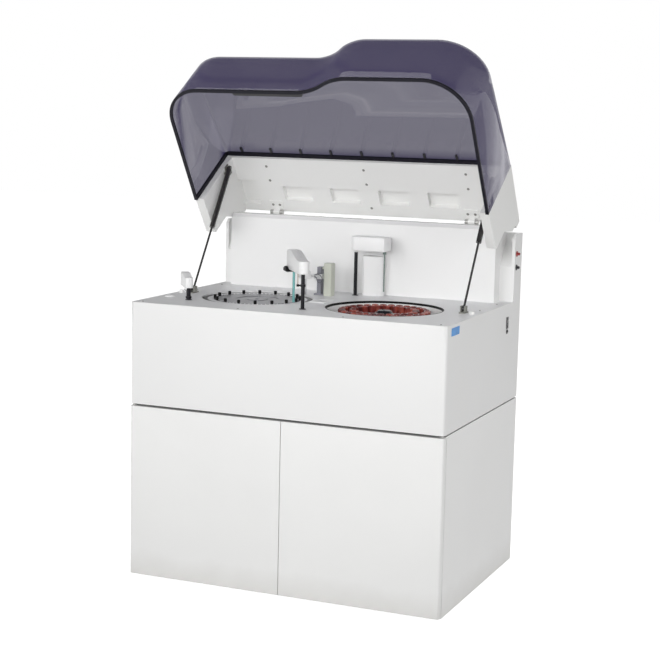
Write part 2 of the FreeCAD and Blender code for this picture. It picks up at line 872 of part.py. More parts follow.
def sampler_head():
    # The hood steps up to the taller probe end
    back = -20.0
    bevel = 10.0
    half_thickness = 15.0
    corner = 14.0
    step_start = 12.0
    step_end = 85.0
    crown_end = 130.0
    front = 140.0
    base = deck_height + sampler_underside
    shoulder = deck_height + sampler_shoulder
    crown = deck_height + sampler_crown
    outline = [(back, base), (back, shoulder), (step_start, shoulder), (step_end, crown),
               (crown_end, crown), (front, crown - bevel), (front, base)]
    return arm_cover(outline, half_thickness, corner, (sampler_x, sampler_y, sampler_angle),
                     arm_shaft_radius)


def sampler_probe():
    # The probe's guard tube and its holder: a plate under the head with a wedge on its left side
    tube_radius = 3.5
    tip_rise = 4.0
    holder_start = 104.0
    holder_end = 146.0
    holder_drop = 6.0
    holder_left = -23.0
    holder_right = 11.0
    wedge_side = -15.0
    wedge_rise = 8.0
    base = deck_height + sampler_underside
    x, y = on_circle(sampler_x, sampler_y, sampler_reach, sampler_angle)
    tube = upright(x, y, deck_height + tip_rise, base, tube_radius)
    plate = side_prism([(holder_start, base - holder_drop), (holder_end, base - holder_drop),
                        (holder_end, base), (holder_start, base)], holder_left, holder_right)
    wedge = side_prism([(holder_start, base), (holder_end, base),
                        ((holder_start + holder_end) / 2, base + wedge_rise)],
                       holder_left, wedge_side)
    return fuse_all([tube] + [placed(shape, sampler_x, sampler_y, sampler_angle)
                              for shape in (plate, wedge)])


reagent_head_underside = 130.0
reagent_head_crown = 170.0


def reagent_arm_head():
    back = -8.5
    front = 97.0
    bevel = 4.0
    half_thickness = 26.0
    corner = 16.0
    base = deck_height + reagent_head_underside
    crown = deck_height + reagent_head_crown
    outline = [(back, base), (back, crown), (front - bevel, crown), (front, crown - bevel), (front, base)]
    return arm_cover(outline, half_thickness, corner,
                     (reagent_arm_x, reagent_arm_y, reagent_arm_angle), arm_shaft_radius)


def reagent_arm_probe():
    probe_radius = 2.0
    tip_rise = 16.0
    nut_radius = 5.0
    nut_drop = 8.0
    base = deck_height + reagent_head_underside
    x, y = on_circle(reagent_arm_x, reagent_arm_y, reagent_arm_reach, reagent_arm_angle)
    probe = upright(x, y, deck_height + tip_rise, base, probe_radius)
    nut = upright(x, y, base - nut_drop, base, nut_radius)
    return fuse_all([probe, nut])


mixer_underside = 33.0
mixer_shoulder = 62.0
mixer_crown = 71.0


def mixer_head():
    # Shaped like the sampling arm's hood, but smaller
    back = -13.0
    bevel = 4.0
    half_thickness = 11.0
    corner = 10.0
    step_start = 10.0
    step_end = 36.0
    front = 68.0
    base = deck_height + mixer_underside
    shoulder = deck_height + mixer_shoulder
    crown = deck_height + mixer_crown
    outline = [(back, base), (back, shoulder), (step_start, shoulder), (step_end, crown),
               (front - bevel, crown), (front, crown - bevel), (front, base)]
    return arm_cover(outline, half_thickness, corner, (mixer_x, mixer_y, mixer_angle),
                     mixer_shaft_radius)


def mixer_paddle():
    # A thin stirring stem with a flat blade at its tip
    stem_radius = 1.5
    blade_half_width = 3.0
    blade_half_thickness = 0.8
    blade_height = 10.0
    tip_rise = 12.0
    base = deck_height + mixer_underside
    x, y = on_circle(mixer_x, mixer_y, mixer_reach, mixer_angle)
    tip = deck_height + tip_rise
    stem = upright(x, y, tip + blade_height / 2, base - moving_gap, stem_radius)
    blade = box(x - blade_half_width, x + blade_half_width, y - blade_half_thickness,
                y + blade_half_thickness, tip, tip + blade_height)
    return fuse_all([stem, blade])


# Wash station: a column with a lifting head of needles, a pump block and the rinse wells

wash_column_half_x = 6.0
wash_column_half_y = 10.0


def wash_column():
    column_height = 80.0
    foot_half = 14.0
    foot_height = 4.0
    foot = box(wash_x - foot_half, wash_x + foot_half, wash_y - foot_half, wash_y + foot_half,
               deck_height, deck_height + foot_height)
    column = box(wash_x - wash_column_half_x, wash_x + wash_column_half_x,
                 wash_y - wash_column_half_y, wash_y + wash_column_half_y,
                 deck_height, deck_height + column_height)
    return fuse_all([foot, column])


def wash_head():
    # A carriage round the column, a link and a manifold with four needles over the cuvettes
    carriage_wall = 6.0
    carriage_base = 46.0
    carriage_height = 14.0
    link_half = 6.0
    manifold_half_length = 22.0
    manifold_half_width = 12.0
    manifold_base = 52.0
    manifold_top = 73.0
    needle_radius = 1.2
    needle_tip = 6.0
    needle_count = 4
    needle_pitch = 9.0
    base = deck_height + carriage_base
    outer = box(wash_x - wash_column_half_x - carriage_wall, wash_x + wash_column_half_x + carriage_wall,
                wash_y - wash_column_half_y - carriage_wall, wash_y + wash_column_half_y + carriage_wall,
                base, base + carriage_height)
    hole = box(wash_x - wash_column_half_x - moving_gap, wash_x + wash_column_half_x + moving_gap,
               wash_y - wash_column_half_y - moving_gap, wash_y + wash_column_half_y + moving_gap,
               base - overrun, base + carriage_height + overrun)
    link_end = wash_y - wash_column_half_y - carriage_wall / 2
    link = box(wash_head_x + link_half / 2, wash_head_x + 2 * link_half + link_half / 2,
               wash_head_y, link_end, deck_height + manifold_base, base + carriage_height)
    manifold = Part.makeBox(2 * manifold_half_length, 2 * manifold_half_width,
                            manifold_top - manifold_base,
                            Vector(-manifold_half_length, -manifold_half_width,
                                   deck_height + manifold_base))
    across = math.degrees(math.atan2(wash_head_y - reaction_y, wash_head_x - reaction_x))
    manifold = placed(manifold, wash_head_x, wash_head_y, across)
    parts = [outer.cut(hole), link, manifold]
    tangent = math.radians(across + 90)
    for index in range(needle_count):
        step = (index - (needle_count - 1) / 2) * needle_pitch
        parts.append(upright(wash_head_x + step * math.cos(tangent),
                             wash_head_y + step * math.sin(tangent),
                             deck_height + needle_tip, deck_height + manifold_base, needle_radius))
    return fuse_all(parts)


def wash_block():
    # The pump block beside the column, with two hose stubs on its left
    column_gap = 12.0
    width = 24.0
    half_y = 15.0
    back_step = 6.0
    x0 = wash_x + wash_column_half_x + column_gap
    x1 = x0 + width
    y0 = wash_y - half_y - back_step
    y1 = y0 + 2 * half_y
    height = 92.0
    corner = 4.0
    stub_radius = 3.0
    stub_length = 5.0
    stub_heights = (78.0, 84.0)
    block = rounded_uprights(box(x0, x1, y0, y1, deck_height, deck_height + height), corner,
                             lambda x, y: True)
    stubs = [crosswise(x0 - stub_length, x0 + corner, (y0 + y1) / 2 + side * corner * 2,
                       deck_height + rise, stub_radius)
             for side, rise in zip((-1, 1), stub_heights)]
    return fuse_all([block] + stubs)


def wash_wells():
    # The sampler's rinse trough between the discs and the mixer's round rinse cup
    thickness = 2.0
    x0 = -37.0
    x1 = 8.0
    y0 = -66.0
    y1 = 4.0
    rim = 8.0
    cup_radius = 14.0
    cup_bore = 10.0
    cup_inset = 32.0
    cup_x = -half_width + cup_inset
    cup_y = -158.0
    plate = box(x0, x1, y0, y1, deck_height, deck_height + thickness)
    trough = box(x0 + rim, x1 - rim, y0 + rim, y1 - rim, deck_height + thickness / 2,
                 deck_height + overrun)
    ring = upright(cup_x, cup_y, deck_height, deck_height + thickness, cup_radius)
    bore = upright(cup_x, cup_y, deck_height + thickness / 2, deck_height + overrun, cup_bore)
    return [plate.cut(trough), ring.cut(bore)]


def rear_tower():
    # The white column cover behind the reagent arm
    half_x = 31.0
    half_y = 19.0
    centre_x = 55.0
    hood_gap = 3.0
    centre_y = hood_y - hood_gap - half_y
    height = 112.0
    corner = 12.0
    tower = box(centre_x - half_x, centre_x + half_x, centre_y - half_y, centre_y + half_y,
                deck_height, deck_height + height)
    return rounded_uprights(tower, corner, lambda x, y: True)


# Lid: smoked cover with the stepped wave front, white rear frame, seal, clips and grip

cover_wave_end = wave_start + wave_run


def arc_edge(centre_x, centre_y, z, radius, start, end):
    points = []
    for angle in (start, (start + end) / 2, end):
        x, y = on_circle(centre_x, centre_y, radius, angle)
        points.append(Vector(x, y, z))
    return Part.Arc(*points).toShape()


def cover_outline(z, inset):
    # Plan of the cover at one height: its right shoulder leans further out with height
    drop = cover_step + cover_lean * (z - lid_rim) / cover_lean_height
    low_front = cover_left_front
    high_front = cover_left_front - drop
    radius = (wave_run ** 2 + drop ** 2) / (4 * drop)
    sweep = math.degrees(2 * math.atan(drop / wave_run))
    edge_x = lid_half_width - inset
    corner = cover_corner_radius
    corner_x = lid_half_width - corner
    left_corner = cover_left_radius
    left_x = left_corner - lid_half_width
    rear = frame_front_y + overrun
    edges = [
        Part.makeLine(Vector(-edge_x, rear, z), Vector(-edge_x, low_front + left_corner, z)),
        arc_edge(left_x, low_front + left_corner, z, left_corner - inset, 180, 270),
        Part.makeLine(Vector(left_x, low_front + inset, z), Vector(wave_start, low_front + inset, z)),
        arc_edge(wave_start, low_front - radius, z, radius + inset, 90, 90 - sweep),
        arc_edge(cover_wave_end, high_front + radius, z, radius - inset, 270 - sweep, 270),
        Part.makeLine(Vector(cover_wave_end, high_front + inset, z),
                      Vector(corner_x, high_front + inset, z)),
        arc_edge(corner_x, high_front + corner, z, corner - inset, 270, 360),
        Part.makeLine(Vector(edge_x, high_front + corner, z), Vector(edge_x, rear, z)),
        Part.makeLine(Vector(edge_x, rear, z), Vector(-edge_x, rear, z))]
    return Part.Wire(edges)


def cover_block(inset, base):
    # The cover's outer or inner form: leaning walls under a top that slopes to the front
    high = lid_top + overrun * 2
    slope = math.tan(math.radians(cover_top_slope))
    far_front = cover_left_front - cover_step - cover_lean * 2 - overrun
    top = lid_top - inset
    low = top - (frame_front_y - far_front) * slope
    block = Part.makeLoft([cover_outline(base, inset), cover_outline(high, inset)], True, True)
    side_x = lid_half_width + overrun
    above = side_prism([(frame_front_y, top), (far_front, low), (far_front, high + overrun),
                        (frame_front_y + overrun * 2, high + overrun),
                        (frame_front_y + overrun * 2, top)], -side_x, side_x)
    return block.cut(above)


def top_edges(shape):
    # The edges between the walls and the sloping top, apart from the rear one
    wanted = []
    for edge in shape.Edges:
        middle = edge.valueAt((edge.FirstParameter + edge.LastParameter) / 2)
        ends = [vertex.Point for vertex in edge.Vertexes]
        rise = min(point.z for point in ends)
        steep = abs(ends[0].z - ends[-1].z) > cover_lean_height / 2
        if rise > lid_rim + cover_lean_height / 2 and not steep and middle.y < frame_front_y:
            wanted.append(edge)
    return wanted


def cover_hollow(base):
    # The bevel inside keeps the wall about even round the rounded edge
    block = cover_block(cover_wall, base)
    return block.makeChamfer(cover_inner_bevel, top_edges(block))


def smoked_cover():
    outer = cover_block(0, lid_rim)
    outer = outer.makeFillet(cover_edge_radius, top_edges(outer))
    inner = cover_hollow(lid_rim - overrun)
    side_x = lid_half_width + overrun
    behind = box(-side_x, side_x, frame_front_y, frame_front_y + overrun * 4,
                 lid_rim - overrun * 2, lid_top + overrun * 4)
    return opened(outer.cut(inner).cut(behind))


seal_thickness = 6.0
seal_width = 8.0
seal_strip_half = 6.0
seal_strip_depth = 5.0
frame_underside = lid_top - frame_top_thickness
frame_inner_x = lid_half_width - frame_wall


def lid_seal():
    # Rubber under the cover's rim, and a strip up the walls and across where it meets the frame
    base = lid_rim - seal_thickness
    outer = Part.Face(cover_outline(lid_rim, 0))
    inner = Part.Face(cover_outline(lid_rim, seal_width))
    ring = outer.cut(inner).extrude(Vector(0, 0, -seal_thickness))
    behind = box(-lid_half_width, lid_half_width, frame_front_y, frame_front_y + overrun * 4,
                 base - overrun, lid_top)
    strip_x = lid_half_width - cover_wall
    strip_top = lid_top - cover_wall - seal_strip_depth / 2
    front = frame_front_y - seal_strip_half * 2
    strip = box(-strip_x, strip_x, front, frame_front_y, base, strip_top)
    strip_hollow = box(-strip_x + seal_strip_depth, strip_x - seal_strip_depth,
                       front - overrun, frame_front_y + overrun, base - overrun,
                       strip_top - seal_strip_depth)
    strip = strip.cut(strip_hollow).common(cover_hollow(base))
    return opened(fuse_all([ring.cut(behind), strip]))


def lid_side_profile():
    tip_depth = 120.0
    tip_rise = 6.0
    back_depth = 128.0
    back_low_rise = 14.0
    back_high_rise = 90.0
    slope_depth = 176.0
    slope_drop = 76.0
    step_drop = 47.0
    edge_bevel = 6.0
    tip_y = frame_front_y + tip_depth
    back_y = frame_front_y + back_depth
    back_low = lid_rim + back_low_rise
    back_high = lid_rim + back_high_rise
    slope_y = frame_front_y + slope_depth
    slope_z = lid_top - slope_drop
    step_z = lid_top - step_drop
    return [(frame_front_y, lid_rim), (tip_y, lid_rim + tip_rise), (back_y, back_low),
            (back_y, back_high), (slope_y, slope_z), (slope_y, step_z),
            (frame_rear_y, step_z + tip_rise), (frame_rear_y, lid_top - edge_bevel),
            (frame_rear_y - edge_bevel, lid_top), (frame_front_y, lid_top)]


window_count = 4
window_pitch = 151.0
window_length = 90.0
window_width = 50.0
window_depth_in = 123.0
window_y = frame_front_y + window_depth_in
window_depth = 16.0
end_recess_length = 60.0
end_recess_width = 84.0


def lid_frame():
    # The top plate with its window pockets, and a thick wall down each side
    edge_radius = 10.0
    profile = lid_side_profile()
    wall = side_prism(profile, frame_inner_x, lid_half_width)
    top = box(-frame_inner_x, frame_inner_x, frame_front_y, frame_rear_y, frame_underside, lid_top)
    frame = fuse_all([top] + both_sides(wall))
    for index in range(window_count):
        x = (index - (window_count - 1) / 2) * window_pitch
        frame = frame.cut(box(x - window_length / 2, x + window_length / 2,
                              window_y - window_width / 2, window_y + window_width / 2,
                              frame_underside - overrun, frame_underside + window_depth))
    for side in (-1, 1):
        x = side * (frame_inner_x - end_recess_length / 2)
        frame = frame.cut(box(x - end_recess_length / 2, x + end_recess_length / 2,
                              window_y - end_recess_width / 2, window_y + end_recess_width / 2,
                              frame_underside - overrun, frame_underside + window_depth))
    edges = []
    for edge in frame.Edges:
        ends = [vertex.Point for vertex in edge.Vertexes]
        if all(abs(point.z - lid_top) < shaft_gap and abs(abs(point.x) - lid_half_width) < shaft_gap
               for point in ends):
            edges.append(edge)
    return opened(frame.makeFillet(edge_radius, edges))


clip_count = 9
clip_end_gap = 59.0
clip_pitch = 2 * (lid_half_width - clip_end_gap) / (clip_count - 1)


def cover_clips():
    # Black tabs under the cover's top that reach forward from the strip seal
    half_width_x = 3.3
    length = 18.0
    thickness = 4.0
    rear = frame_front_y - seal_strip_half * 2
    slope = math.tan(math.radians(cover_top_slope))
    clips = []
    for index in range(clip_count):
        x = (index - (clip_count - 1) / 2) * clip_pitch
        corners = []
        for y in (rear - length, rear):
            corners.append((y, lid_top - cover_wall - (frame_front_y - y) * slope))
        outline = corners + [(y, z - thickness) for y, z in reversed(corners)]
        clips.append(opened(side_prism(outline, x - half_width_x, x + half_width_x)))
    return clips


def grip_lip():
    # A finger lip inside the low front wall
    x0 = -228.0
    x1 = -24.0
    depth = 15.0
    height = 6.0
    front = cover_left_front + cover_wall
    lip = box(x0, x1, front, front + depth, lid_rim, lid_rim + height)
    return opened(rounded_uprights(lip, height, lambda x, y: y > front + height))


# Lid hinges

hinge_x = 305.0
hinge_half = 20.0
hinge_knuckle = 10.0
hinge_radius = 7.0
hinge_pin_radius = 3.0
hinge_plate = 3.0


def hinge_brackets():
    # Each bracket stands on the rear housing: a foot, two knuckles and the pin through them
    foot_inset = 2.0
    web_depth = 10.0
    web_inset = 3.0
    foot_front = rear_top_y + foot_inset
    foot_rear = rear_y - foot_inset
    web = [(foot_front, rear_box_top), (foot_front + web_depth, rear_box_top),
           (hinge_y + hinge_radius - web_inset, hinge_z),
           (hinge_y - hinge_radius + web_inset, hinge_z)]
    x0 = hinge_x - hinge_half
    x1 = hinge_x + hinge_half
    foot = box(x0, x1, foot_front, foot_rear, rear_box_top, rear_box_top + hinge_plate)
    pieces = [foot, crosswise(x0, x1, hinge_y, hinge_z, hinge_pin_radius)]
    for start in (x0, x1 - hinge_knuckle):
        pieces.append(side_prism(web, start, start + hinge_knuckle))
        pieces.append(crosswise(start, start + hinge_knuckle, hinge_y, hinge_z, hinge_radius))
    return both_sides(fuse_all(pieces))


def hinge_leaves():
    # The leaf under the lid frame, and its knuckle on the pin
    leaf_length = 35.0
    leaf_front = hinge_y - leaf_length
    leaf_x = hinge_half - hinge_knuckle - moving_gap
    plate = box(hinge_x - hinge_half, hinge_x + hinge_half, leaf_front, hinge_y - hinge_radius,
                frame_underside - hinge_plate, frame_underside)
    block = box(hinge_x - leaf_x, hinge_x + leaf_x, hinge_y - hinge_radius, frame_rear_y,
                hinge_z, frame_underside)
    knuckle = crosswise(hinge_x - leaf_x, hinge_x + leaf_x, hinge_y, hinge_z, hinge_radius)
    hole = crosswise(hinge_x - hinge_half, hinge_x + hinge_half, hinge_y, hinge_z,
                     hinge_pin_radius + shaft_gap)
    leaf = fuse_all([plate, block, knuckle]).cut(hole)
    return both_sides(opened(leaf))


# Gas springs: a rod on a deck bracket, a barrel on the rod, a stud at the lid's side wall

eye_radius = 6.0
eye_half = 4.0
foot_pin_radius = 3.0
stud_open_y, stud_open_z = opened_point(stud_y, stud_z)
spring_length = math.hypot(stud_open_y - spring_foot_y, stud_open_z - spring_foot_z)
spring_angle = math.degrees(math.atan2(stud_open_z - spring_foot_z, stud_open_y - spring_foot_y))
closed_length = math.hypot(stud_y - spring_foot_y, stud_z - spring_foot_z)
closed_angle = math.degrees(math.atan2(stud_z - spring_foot_z, stud_y - spring_foot_y))
rod_tip_margin = 4.0
plate_thickness = 3.0
barrel_end_wall = 5.0


def along_spring(shape):
    result = shape.copy()
    result.rotate(Vector(0, 0, 0), Vector(1, 0, 0), spring_angle - 90)
    result.translate(Vector(spring_x, spring_foot_y, spring_foot_z))
    return result


def spring_rod():
    rod_top = closed_length - stud_offset - barrel_end_wall - rod_tip_margin
    rod = Part.makeCylinder(spring_rod_radius, rod_top - eye_radius / 2, Vector(0, 0, eye_radius / 2))
    eye = crosswise(-eye_half, eye_half, 0, 0, eye_radius)
    hole = crosswise(-eye_half, eye_half, 0, 0, foot_pin_radius + shaft_gap)
    return along_spring(fuse_all([rod, eye]).cut(hole))


def spring_barrel():
    top = spring_length - stud_offset
    base = top - spring_barrel_length
    bore_radius = spring_rod_radius + shaft_gap
    stud_radius = 3.0
    neck_radius = 4.0
    stud_reach = frame_inner_x - plate_thickness - moving_gap - spring_x
    barrel = Part.makeCylinder(spring_barrel_radius, spring_barrel_length, Vector(0, 0, base))
    bore = Part.makeCylinder(bore_radius, spring_barrel_length - barrel_end_wall, Vector(0, 0, base))
    neck = Part.makeCylinder(neck_radius, stud_offset, Vector(0, 0, top))
    eye = crosswise(-eye_half, eye_half, 0, spring_length, eye_radius)
    stud = crosswise(0, stud_reach, 0, spring_length, stud_radius)
    return along_spring(fuse_all([barrel.cut(bore), neck, eye, stud]))


def spring_brackets():
    # A folded bracket on the deck with the rod's pin between its ears
    ear_thickness = 3.0
    ear_gap = eye_half + moving_gap
    ear_half_y = 9.0
    ear_rise = 8.0
    base_half_y = 18.0
    base_thickness = 3.0
    x0 = spring_x - ear_gap - ear_thickness
    x1 = spring_x + ear_gap + ear_thickness
    base = box(x0, x1, spring_foot_y - base_half_y, spring_foot_y + base_half_y,
               deck_height, deck_height + base_thickness)
    pieces = [base, crosswise(x0, x1, spring_foot_y, spring_foot_z, foot_pin_radius)]
    for start in (x0, x1 - ear_thickness):
        pieces.append(box(start, start + ear_thickness, spring_foot_y - ear_half_y,
                          spring_foot_y + ear_half_y, deck_height, spring_foot_z + ear_rise))
    return both_sides(fuse_all(pieces))


def spring_plates():
    # The plates on the lid's side walls that carry the upper studs
    half_y = 15.0
    half_z = 20.0
    plate = box(frame_inner_x - plate_thickness, frame_inner_x, stud_y + half_y / 3,
                stud_y + half_y * 2, stud_z - half_z, stud_z + half_z)
    tab = box(frame_inner_x - plate_thickness, frame_inner_x, stud_y - half_y / 2,
              stud_y + half_y / 3, stud_z - half_z / 2, stud_z + half_z / 2)
    return both_sides(opened(fuse_all([plate, tab])))


def lid_bumpers():
    bumper_inset = 8.0
    bumper_setback = 69.0
    bumper_radius = 6.5
    bumper_x = lid_half_width - bumper_inset
    bumper_y = cover_left_front + cover_corner_radius + bumper_setback
    top = lid_rim - seal_thickness - moving_gap
    return both_sides(upright(bumper_x, bumper_y, deck_height, top, bumper_radius))


# Output, one file for each named piece

right_door = cabinet_door()
rod_shape = spring_rod()
barrel_shape = spring_barrel()

save("cabinet_shell", cabinet_shell())
save("cabinet_rear_panel", cabinet_rear_panel())
save("levelling_feet", *levelling_feet())
save("door_pivots", *door_pivots())
save("door_catches", *door_catches())
save("right_door", right_door)
save("left_door", mirrored(right_door))
save("fluid_tanks", *[piece for solid in fluid_tank() for piece in both_sides(solid)])
save("upper_tray", upper_tray())
save("upper_housing", upper_housing())
save("upper_rear_panel", upper_rear_panel())
save("power_inlet", power_inlet())
save("deck_plate", deck_plate())
save("arm_bushes", *arm_bushes())
save("rear_housing", rear_housing())
save("back_wall", back_wall())
save("fluid_ports", *fluid_ports())
save("switch_bezel", switch_bezel())
save("switch_rocker", switch_rocker())
save("reaction_well", reaction_well())
save("reagent_well", reagent_well())
save("well_trim", well_trim())
save("disc_motors", *disc_motors())
save("reaction_disc", reaction_disc())
save("cuvette_ring", cuvette_ring())
save("cuvette_knobs", *cuvette_knobs())
save("reagent_rotor", reagent_rotor())
save("reagent_bottles", *reagent_bottles())
save("bottle_caps", *bottle_caps())
save("rotor_hub", rotor_hub())
save("sampler_pulley", arm_pulley(sampler_x, sampler_y))
save("sampler_shaft", arm_shaft(sampler_x, sampler_y, arm_shaft_radius, sampler_collar_rise,
                                deck_height + sampler_underside + head_socket))
save("sampler_head", sampler_head())
save("sampler_probe", sampler_probe())
save("reagent_arm_pulley", arm_pulley(reagent_arm_x, reagent_arm_y))
save("reagent_arm_shaft", arm_shaft(reagent_arm_x, reagent_arm_y, arm_shaft_radius,
                                    reagent_collar_rise,
                                    deck_height + reagent_head_underside + head_socket))
save("reagent_arm_head", reagent_arm_head())
save("reagent_arm_probe", reagent_arm_probe())
save("mixer_shaft", arm_shaft(mixer_x, mixer_y, mixer_shaft_radius, mixer_collar_rise,
                              deck_height + mixer_underside + head_socket))
save("mixer_head", mixer_head())
save("mixer_paddle", mixer_paddle())
save("wash_column", wash_column())
save("wash_head", wash_head())
save("wash_block", wash_block())
save("wash_wells", *wash_wells())
save("rear_tower", rear_tower())
save("smoked_cover", smoked_cover())
save("lid_frame", lid_frame())
save("lid_seal", lid_seal())
save("cover_clips", *cover_clips())
save("grip_lip", grip_lip())
save("hinge_brackets", *hinge_brackets())
save("hinge_leaves", *hinge_leaves())
save("right_spring_rod", rod_shape)
save("left_spring_rod", mirrored(rod_shape))
save("right_spring_barrel", barrel_shape)
save("left_spring_barrel", mirrored(barrel_shape))
save("spring_brackets", *spring_brackets())
save("spring_plates", *spring_plates())
save("lid_bumpers", *lid_bumpers())
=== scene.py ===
# Chemistry analyzer on its two-door cabinet, lid open on its gas springs, deck and arms in view.
import math
import bmesh
import bpy
from mathutils import Matrix, Quaternion, Vector


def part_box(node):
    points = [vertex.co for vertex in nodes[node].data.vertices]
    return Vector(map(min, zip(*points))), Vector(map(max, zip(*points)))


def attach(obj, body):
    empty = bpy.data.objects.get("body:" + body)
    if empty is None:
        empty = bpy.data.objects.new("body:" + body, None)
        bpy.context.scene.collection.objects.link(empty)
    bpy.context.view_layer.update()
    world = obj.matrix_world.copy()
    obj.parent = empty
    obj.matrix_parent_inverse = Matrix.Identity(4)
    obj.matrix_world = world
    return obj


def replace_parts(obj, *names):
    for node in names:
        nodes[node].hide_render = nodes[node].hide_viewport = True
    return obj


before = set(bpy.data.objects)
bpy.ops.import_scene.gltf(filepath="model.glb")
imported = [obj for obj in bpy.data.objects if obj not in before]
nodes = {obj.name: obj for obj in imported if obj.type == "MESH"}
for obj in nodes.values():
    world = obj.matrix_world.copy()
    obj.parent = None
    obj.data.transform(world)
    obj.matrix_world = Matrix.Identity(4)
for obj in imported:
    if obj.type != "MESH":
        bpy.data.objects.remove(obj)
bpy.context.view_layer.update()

# Studio floor, lamps and camera
# A plain pale floor like a light table, one broad soft lamp from the front left, fills from the
# right and the back, and a narrow lamp that reaches the deck under the lid. The camera stands where
# the photographer stood, a little right of the machine's middle.

bpy.context.scene.view_settings.view_transform = "Standard"


class Value:
    """One output of a shader node that takes part in Python sums."""

    def __init__(self, finish, socket):
        self.finish = finish
        self.socket = socket

    def sum_with(self, operation, first, second):
        return self.finish.node("ShaderNodeMath", {"operation": operation}, {0: first, 1: second})

    def __add__(self, other):
        return self.sum_with("ADD", self, other)

    def __sub__(self, other):
        return self.sum_with("SUBTRACT", self, other)

    def __rsub__(self, other):
        return self.sum_with("SUBTRACT", other, self)

    def __mul__(self, other):
        return self.sum_with("MULTIPLY", self, other)

    __radd__ = __add__
    __rmul__ = __mul__


class Finish:
    """One procedural finish: a Principled surface and the nodes that vary it."""

    def __init__(self, name):
        self.material = bpy.data.materials.new(name)
        self.material.use_nodes = True
        self.tree = self.material.node_tree
        self.shader = self.tree.nodes["Principled BSDF"]

    def node(self, kind, settings=None, inputs=None, output=0):
        made = self.tree.nodes.new(kind)
        for name, setting in (settings or {}).items():
            if name == "stops":
                held = made.color_ramp.elements
                while len(held) < len(setting):
                    held.new(0.5)
                for stop, (place, colour) in zip(held, setting):
                    stop.position = place
                    stop.color = (*colour, 1)
            else:
                setattr(made, name, setting)
        for name, given in (inputs or {}).items():
            self.feed(made.inputs[name], given)
        return Value(self, made.outputs[output])

    def feed(self, socket, given):
        if isinstance(given, Value):
            self.tree.links.new(given.socket, socket)
        elif isinstance(given, tuple) and len(given) == 3 and len(socket.default_value) == 4:
            socket.default_value = (*given, 1)
        else:
            socket.default_value = given

    def place(self):
        return self.node("ShaderNodeTexCoord", output="Object")

    def noise(self, scale, detail=2.0, stretch=(1, 1, 1)):
        drawn = self.node("ShaderNodeMapping", {}, {"Vector": self.place(), "Scale": stretch})
        return self.node("ShaderNodeTexNoise", {},
                         {"Vector": drawn, "Scale": scale, "Detail": detail})

    def height(self):
        return self.node("ShaderNodeSeparateXYZ", {}, {0: self.place()}, output="Z")

    def ramp(self, value, stops):
        return self.node("ShaderNodeValToRGB", {"stops": stops}, {0: value})

    def mix(self, share, first, second):
        return self.node("ShaderNodeMix", {"data_type": "RGBA"}, {0: share, 6: first, 7: second},
                         output=2)

    def bump(self, height, distance, strength=1.0):
        raised = self.node("ShaderNodeBump", {},
                           {"Height": height, "Distance": distance, "Strength": strength})
        self.feed(self.shader.inputs["Normal"], raised)

    def speckle(self, scale, detail, low, high, ends=(0.3, 0.7)):
        return self.ramp(self.noise(scale, detail), [(ends[0], low), (ends[1], high)])

    def surface(self, **settings):
        for name, given in settings.items():
            self.feed(self.shader.inputs[name.replace("_", " ").title().replace("Ior", "IOR")], given)
        return self


def studio_floor():
    finish = Finish("studio_floor")
    tone = finish.speckle(3.0, 2.0, (0.86, 0.86, 0.86), (0.88, 0.88, 0.88))
    finish.surface(base_color=tone, roughness=0.7, emission_color=(1, 1, 1), emission_strength=0.8)
    shape = bmesh.new()
    bmesh.ops.create_grid(shape, x_segments=1, y_segments=1, size=14.0)
    mesh = bpy.data.meshes.new("studio_floor")
    shape.to_mesh(mesh)
    shape.free()
    mesh.materials.append(finish.material)
    floor = bpy.data.objects.new("studio_floor", mesh)
    floor.visible_diffuse = False
    bpy.context.scene.collection.objects.link(floor)


def studio_lamp(name, place, target, size, power, spread=180, mirrored=True):
    lamp = bpy.data.lights.new(name, "AREA")
    lamp.spread = math.radians(spread)
    lamp.shape = "RECTANGLE"
    lamp.size = size[0]
    lamp.size_y = size[1]
    lamp.energy = power
    holder = bpy.data.objects.new(name, lamp)
    holder.location = place
    holder.rotation_euler = (Vector(target) - Vector(place)).to_track_quat("-Z", "Y").to_euler()
    holder.visible_glossy = mirrored
    bpy.context.scene.collection.objects.link(holder)


def studio_camera():
    place = Vector((1.6945, -4.0152, 1.3091))
    target = Vector((0.0003, 0, 0.6776))
    camera = bpy.data.cameras.new("camera")
    camera.sensor_width = 36
    camera.lens = 86.62
    holder = bpy.data.objects.new("camera", camera)
    holder.location = place
    level = (target - place).to_track_quat("-Z", "Y")
    roll = Quaternion((0, 0, 1), math.radians(1.2613))
    holder.rotation_mode = "QUATERNION"
    holder.rotation_quaternion = level @ roll
    bpy.context.scene.collection.objects.link(holder)
    bpy.context.scene.camera = holder


studio_floor()
studio_lamp("front_lamp", (-1.4, -4.2, 2.0), (0, 0, 0.8), (3.0, 2.4), 80)
studio_lamp("deck_lamp", (0.9, -3.4, 1.5), (0, 0.15, 1.0), (1.2, 0.8), 3.3, 50, False)
studio_lamp("right_lamp", (4.2, -1.6, 1.8), (0, 0, 0.8), (2.4, 2.4), 50, mirrored=False)
studio_lamp("back_lamp", (0.5, 3.6, 2.4), (0, 0, 1.0), (3.0, 2.0), 22)
studio_camera()


def studio_room():
    """A white room: the camera sees it white, and it lights the machine only a little."""
    world = bpy.data.worlds.new("studio_room")
    world.use_nodes = True
    seen = world.node_tree.nodes.new("ShaderNodeLightPath")
    strength = world.node_tree.nodes.new("ShaderNodeMapRange")
    strength.inputs["To Min"].default_value = 0.34
    world.node_tree.links.new(seen.outputs["Is Camera Ray"], strength.inputs["Value"])
    white = world.node_tree.nodes["Background"]
    white.inputs["Color"].default_value = (1, 1, 1, 1)
    world.node_tree.links.new(strength.outputs["Result"], white.inputs["Strength"])
    bpy.context.scene.world = world


studio_room()


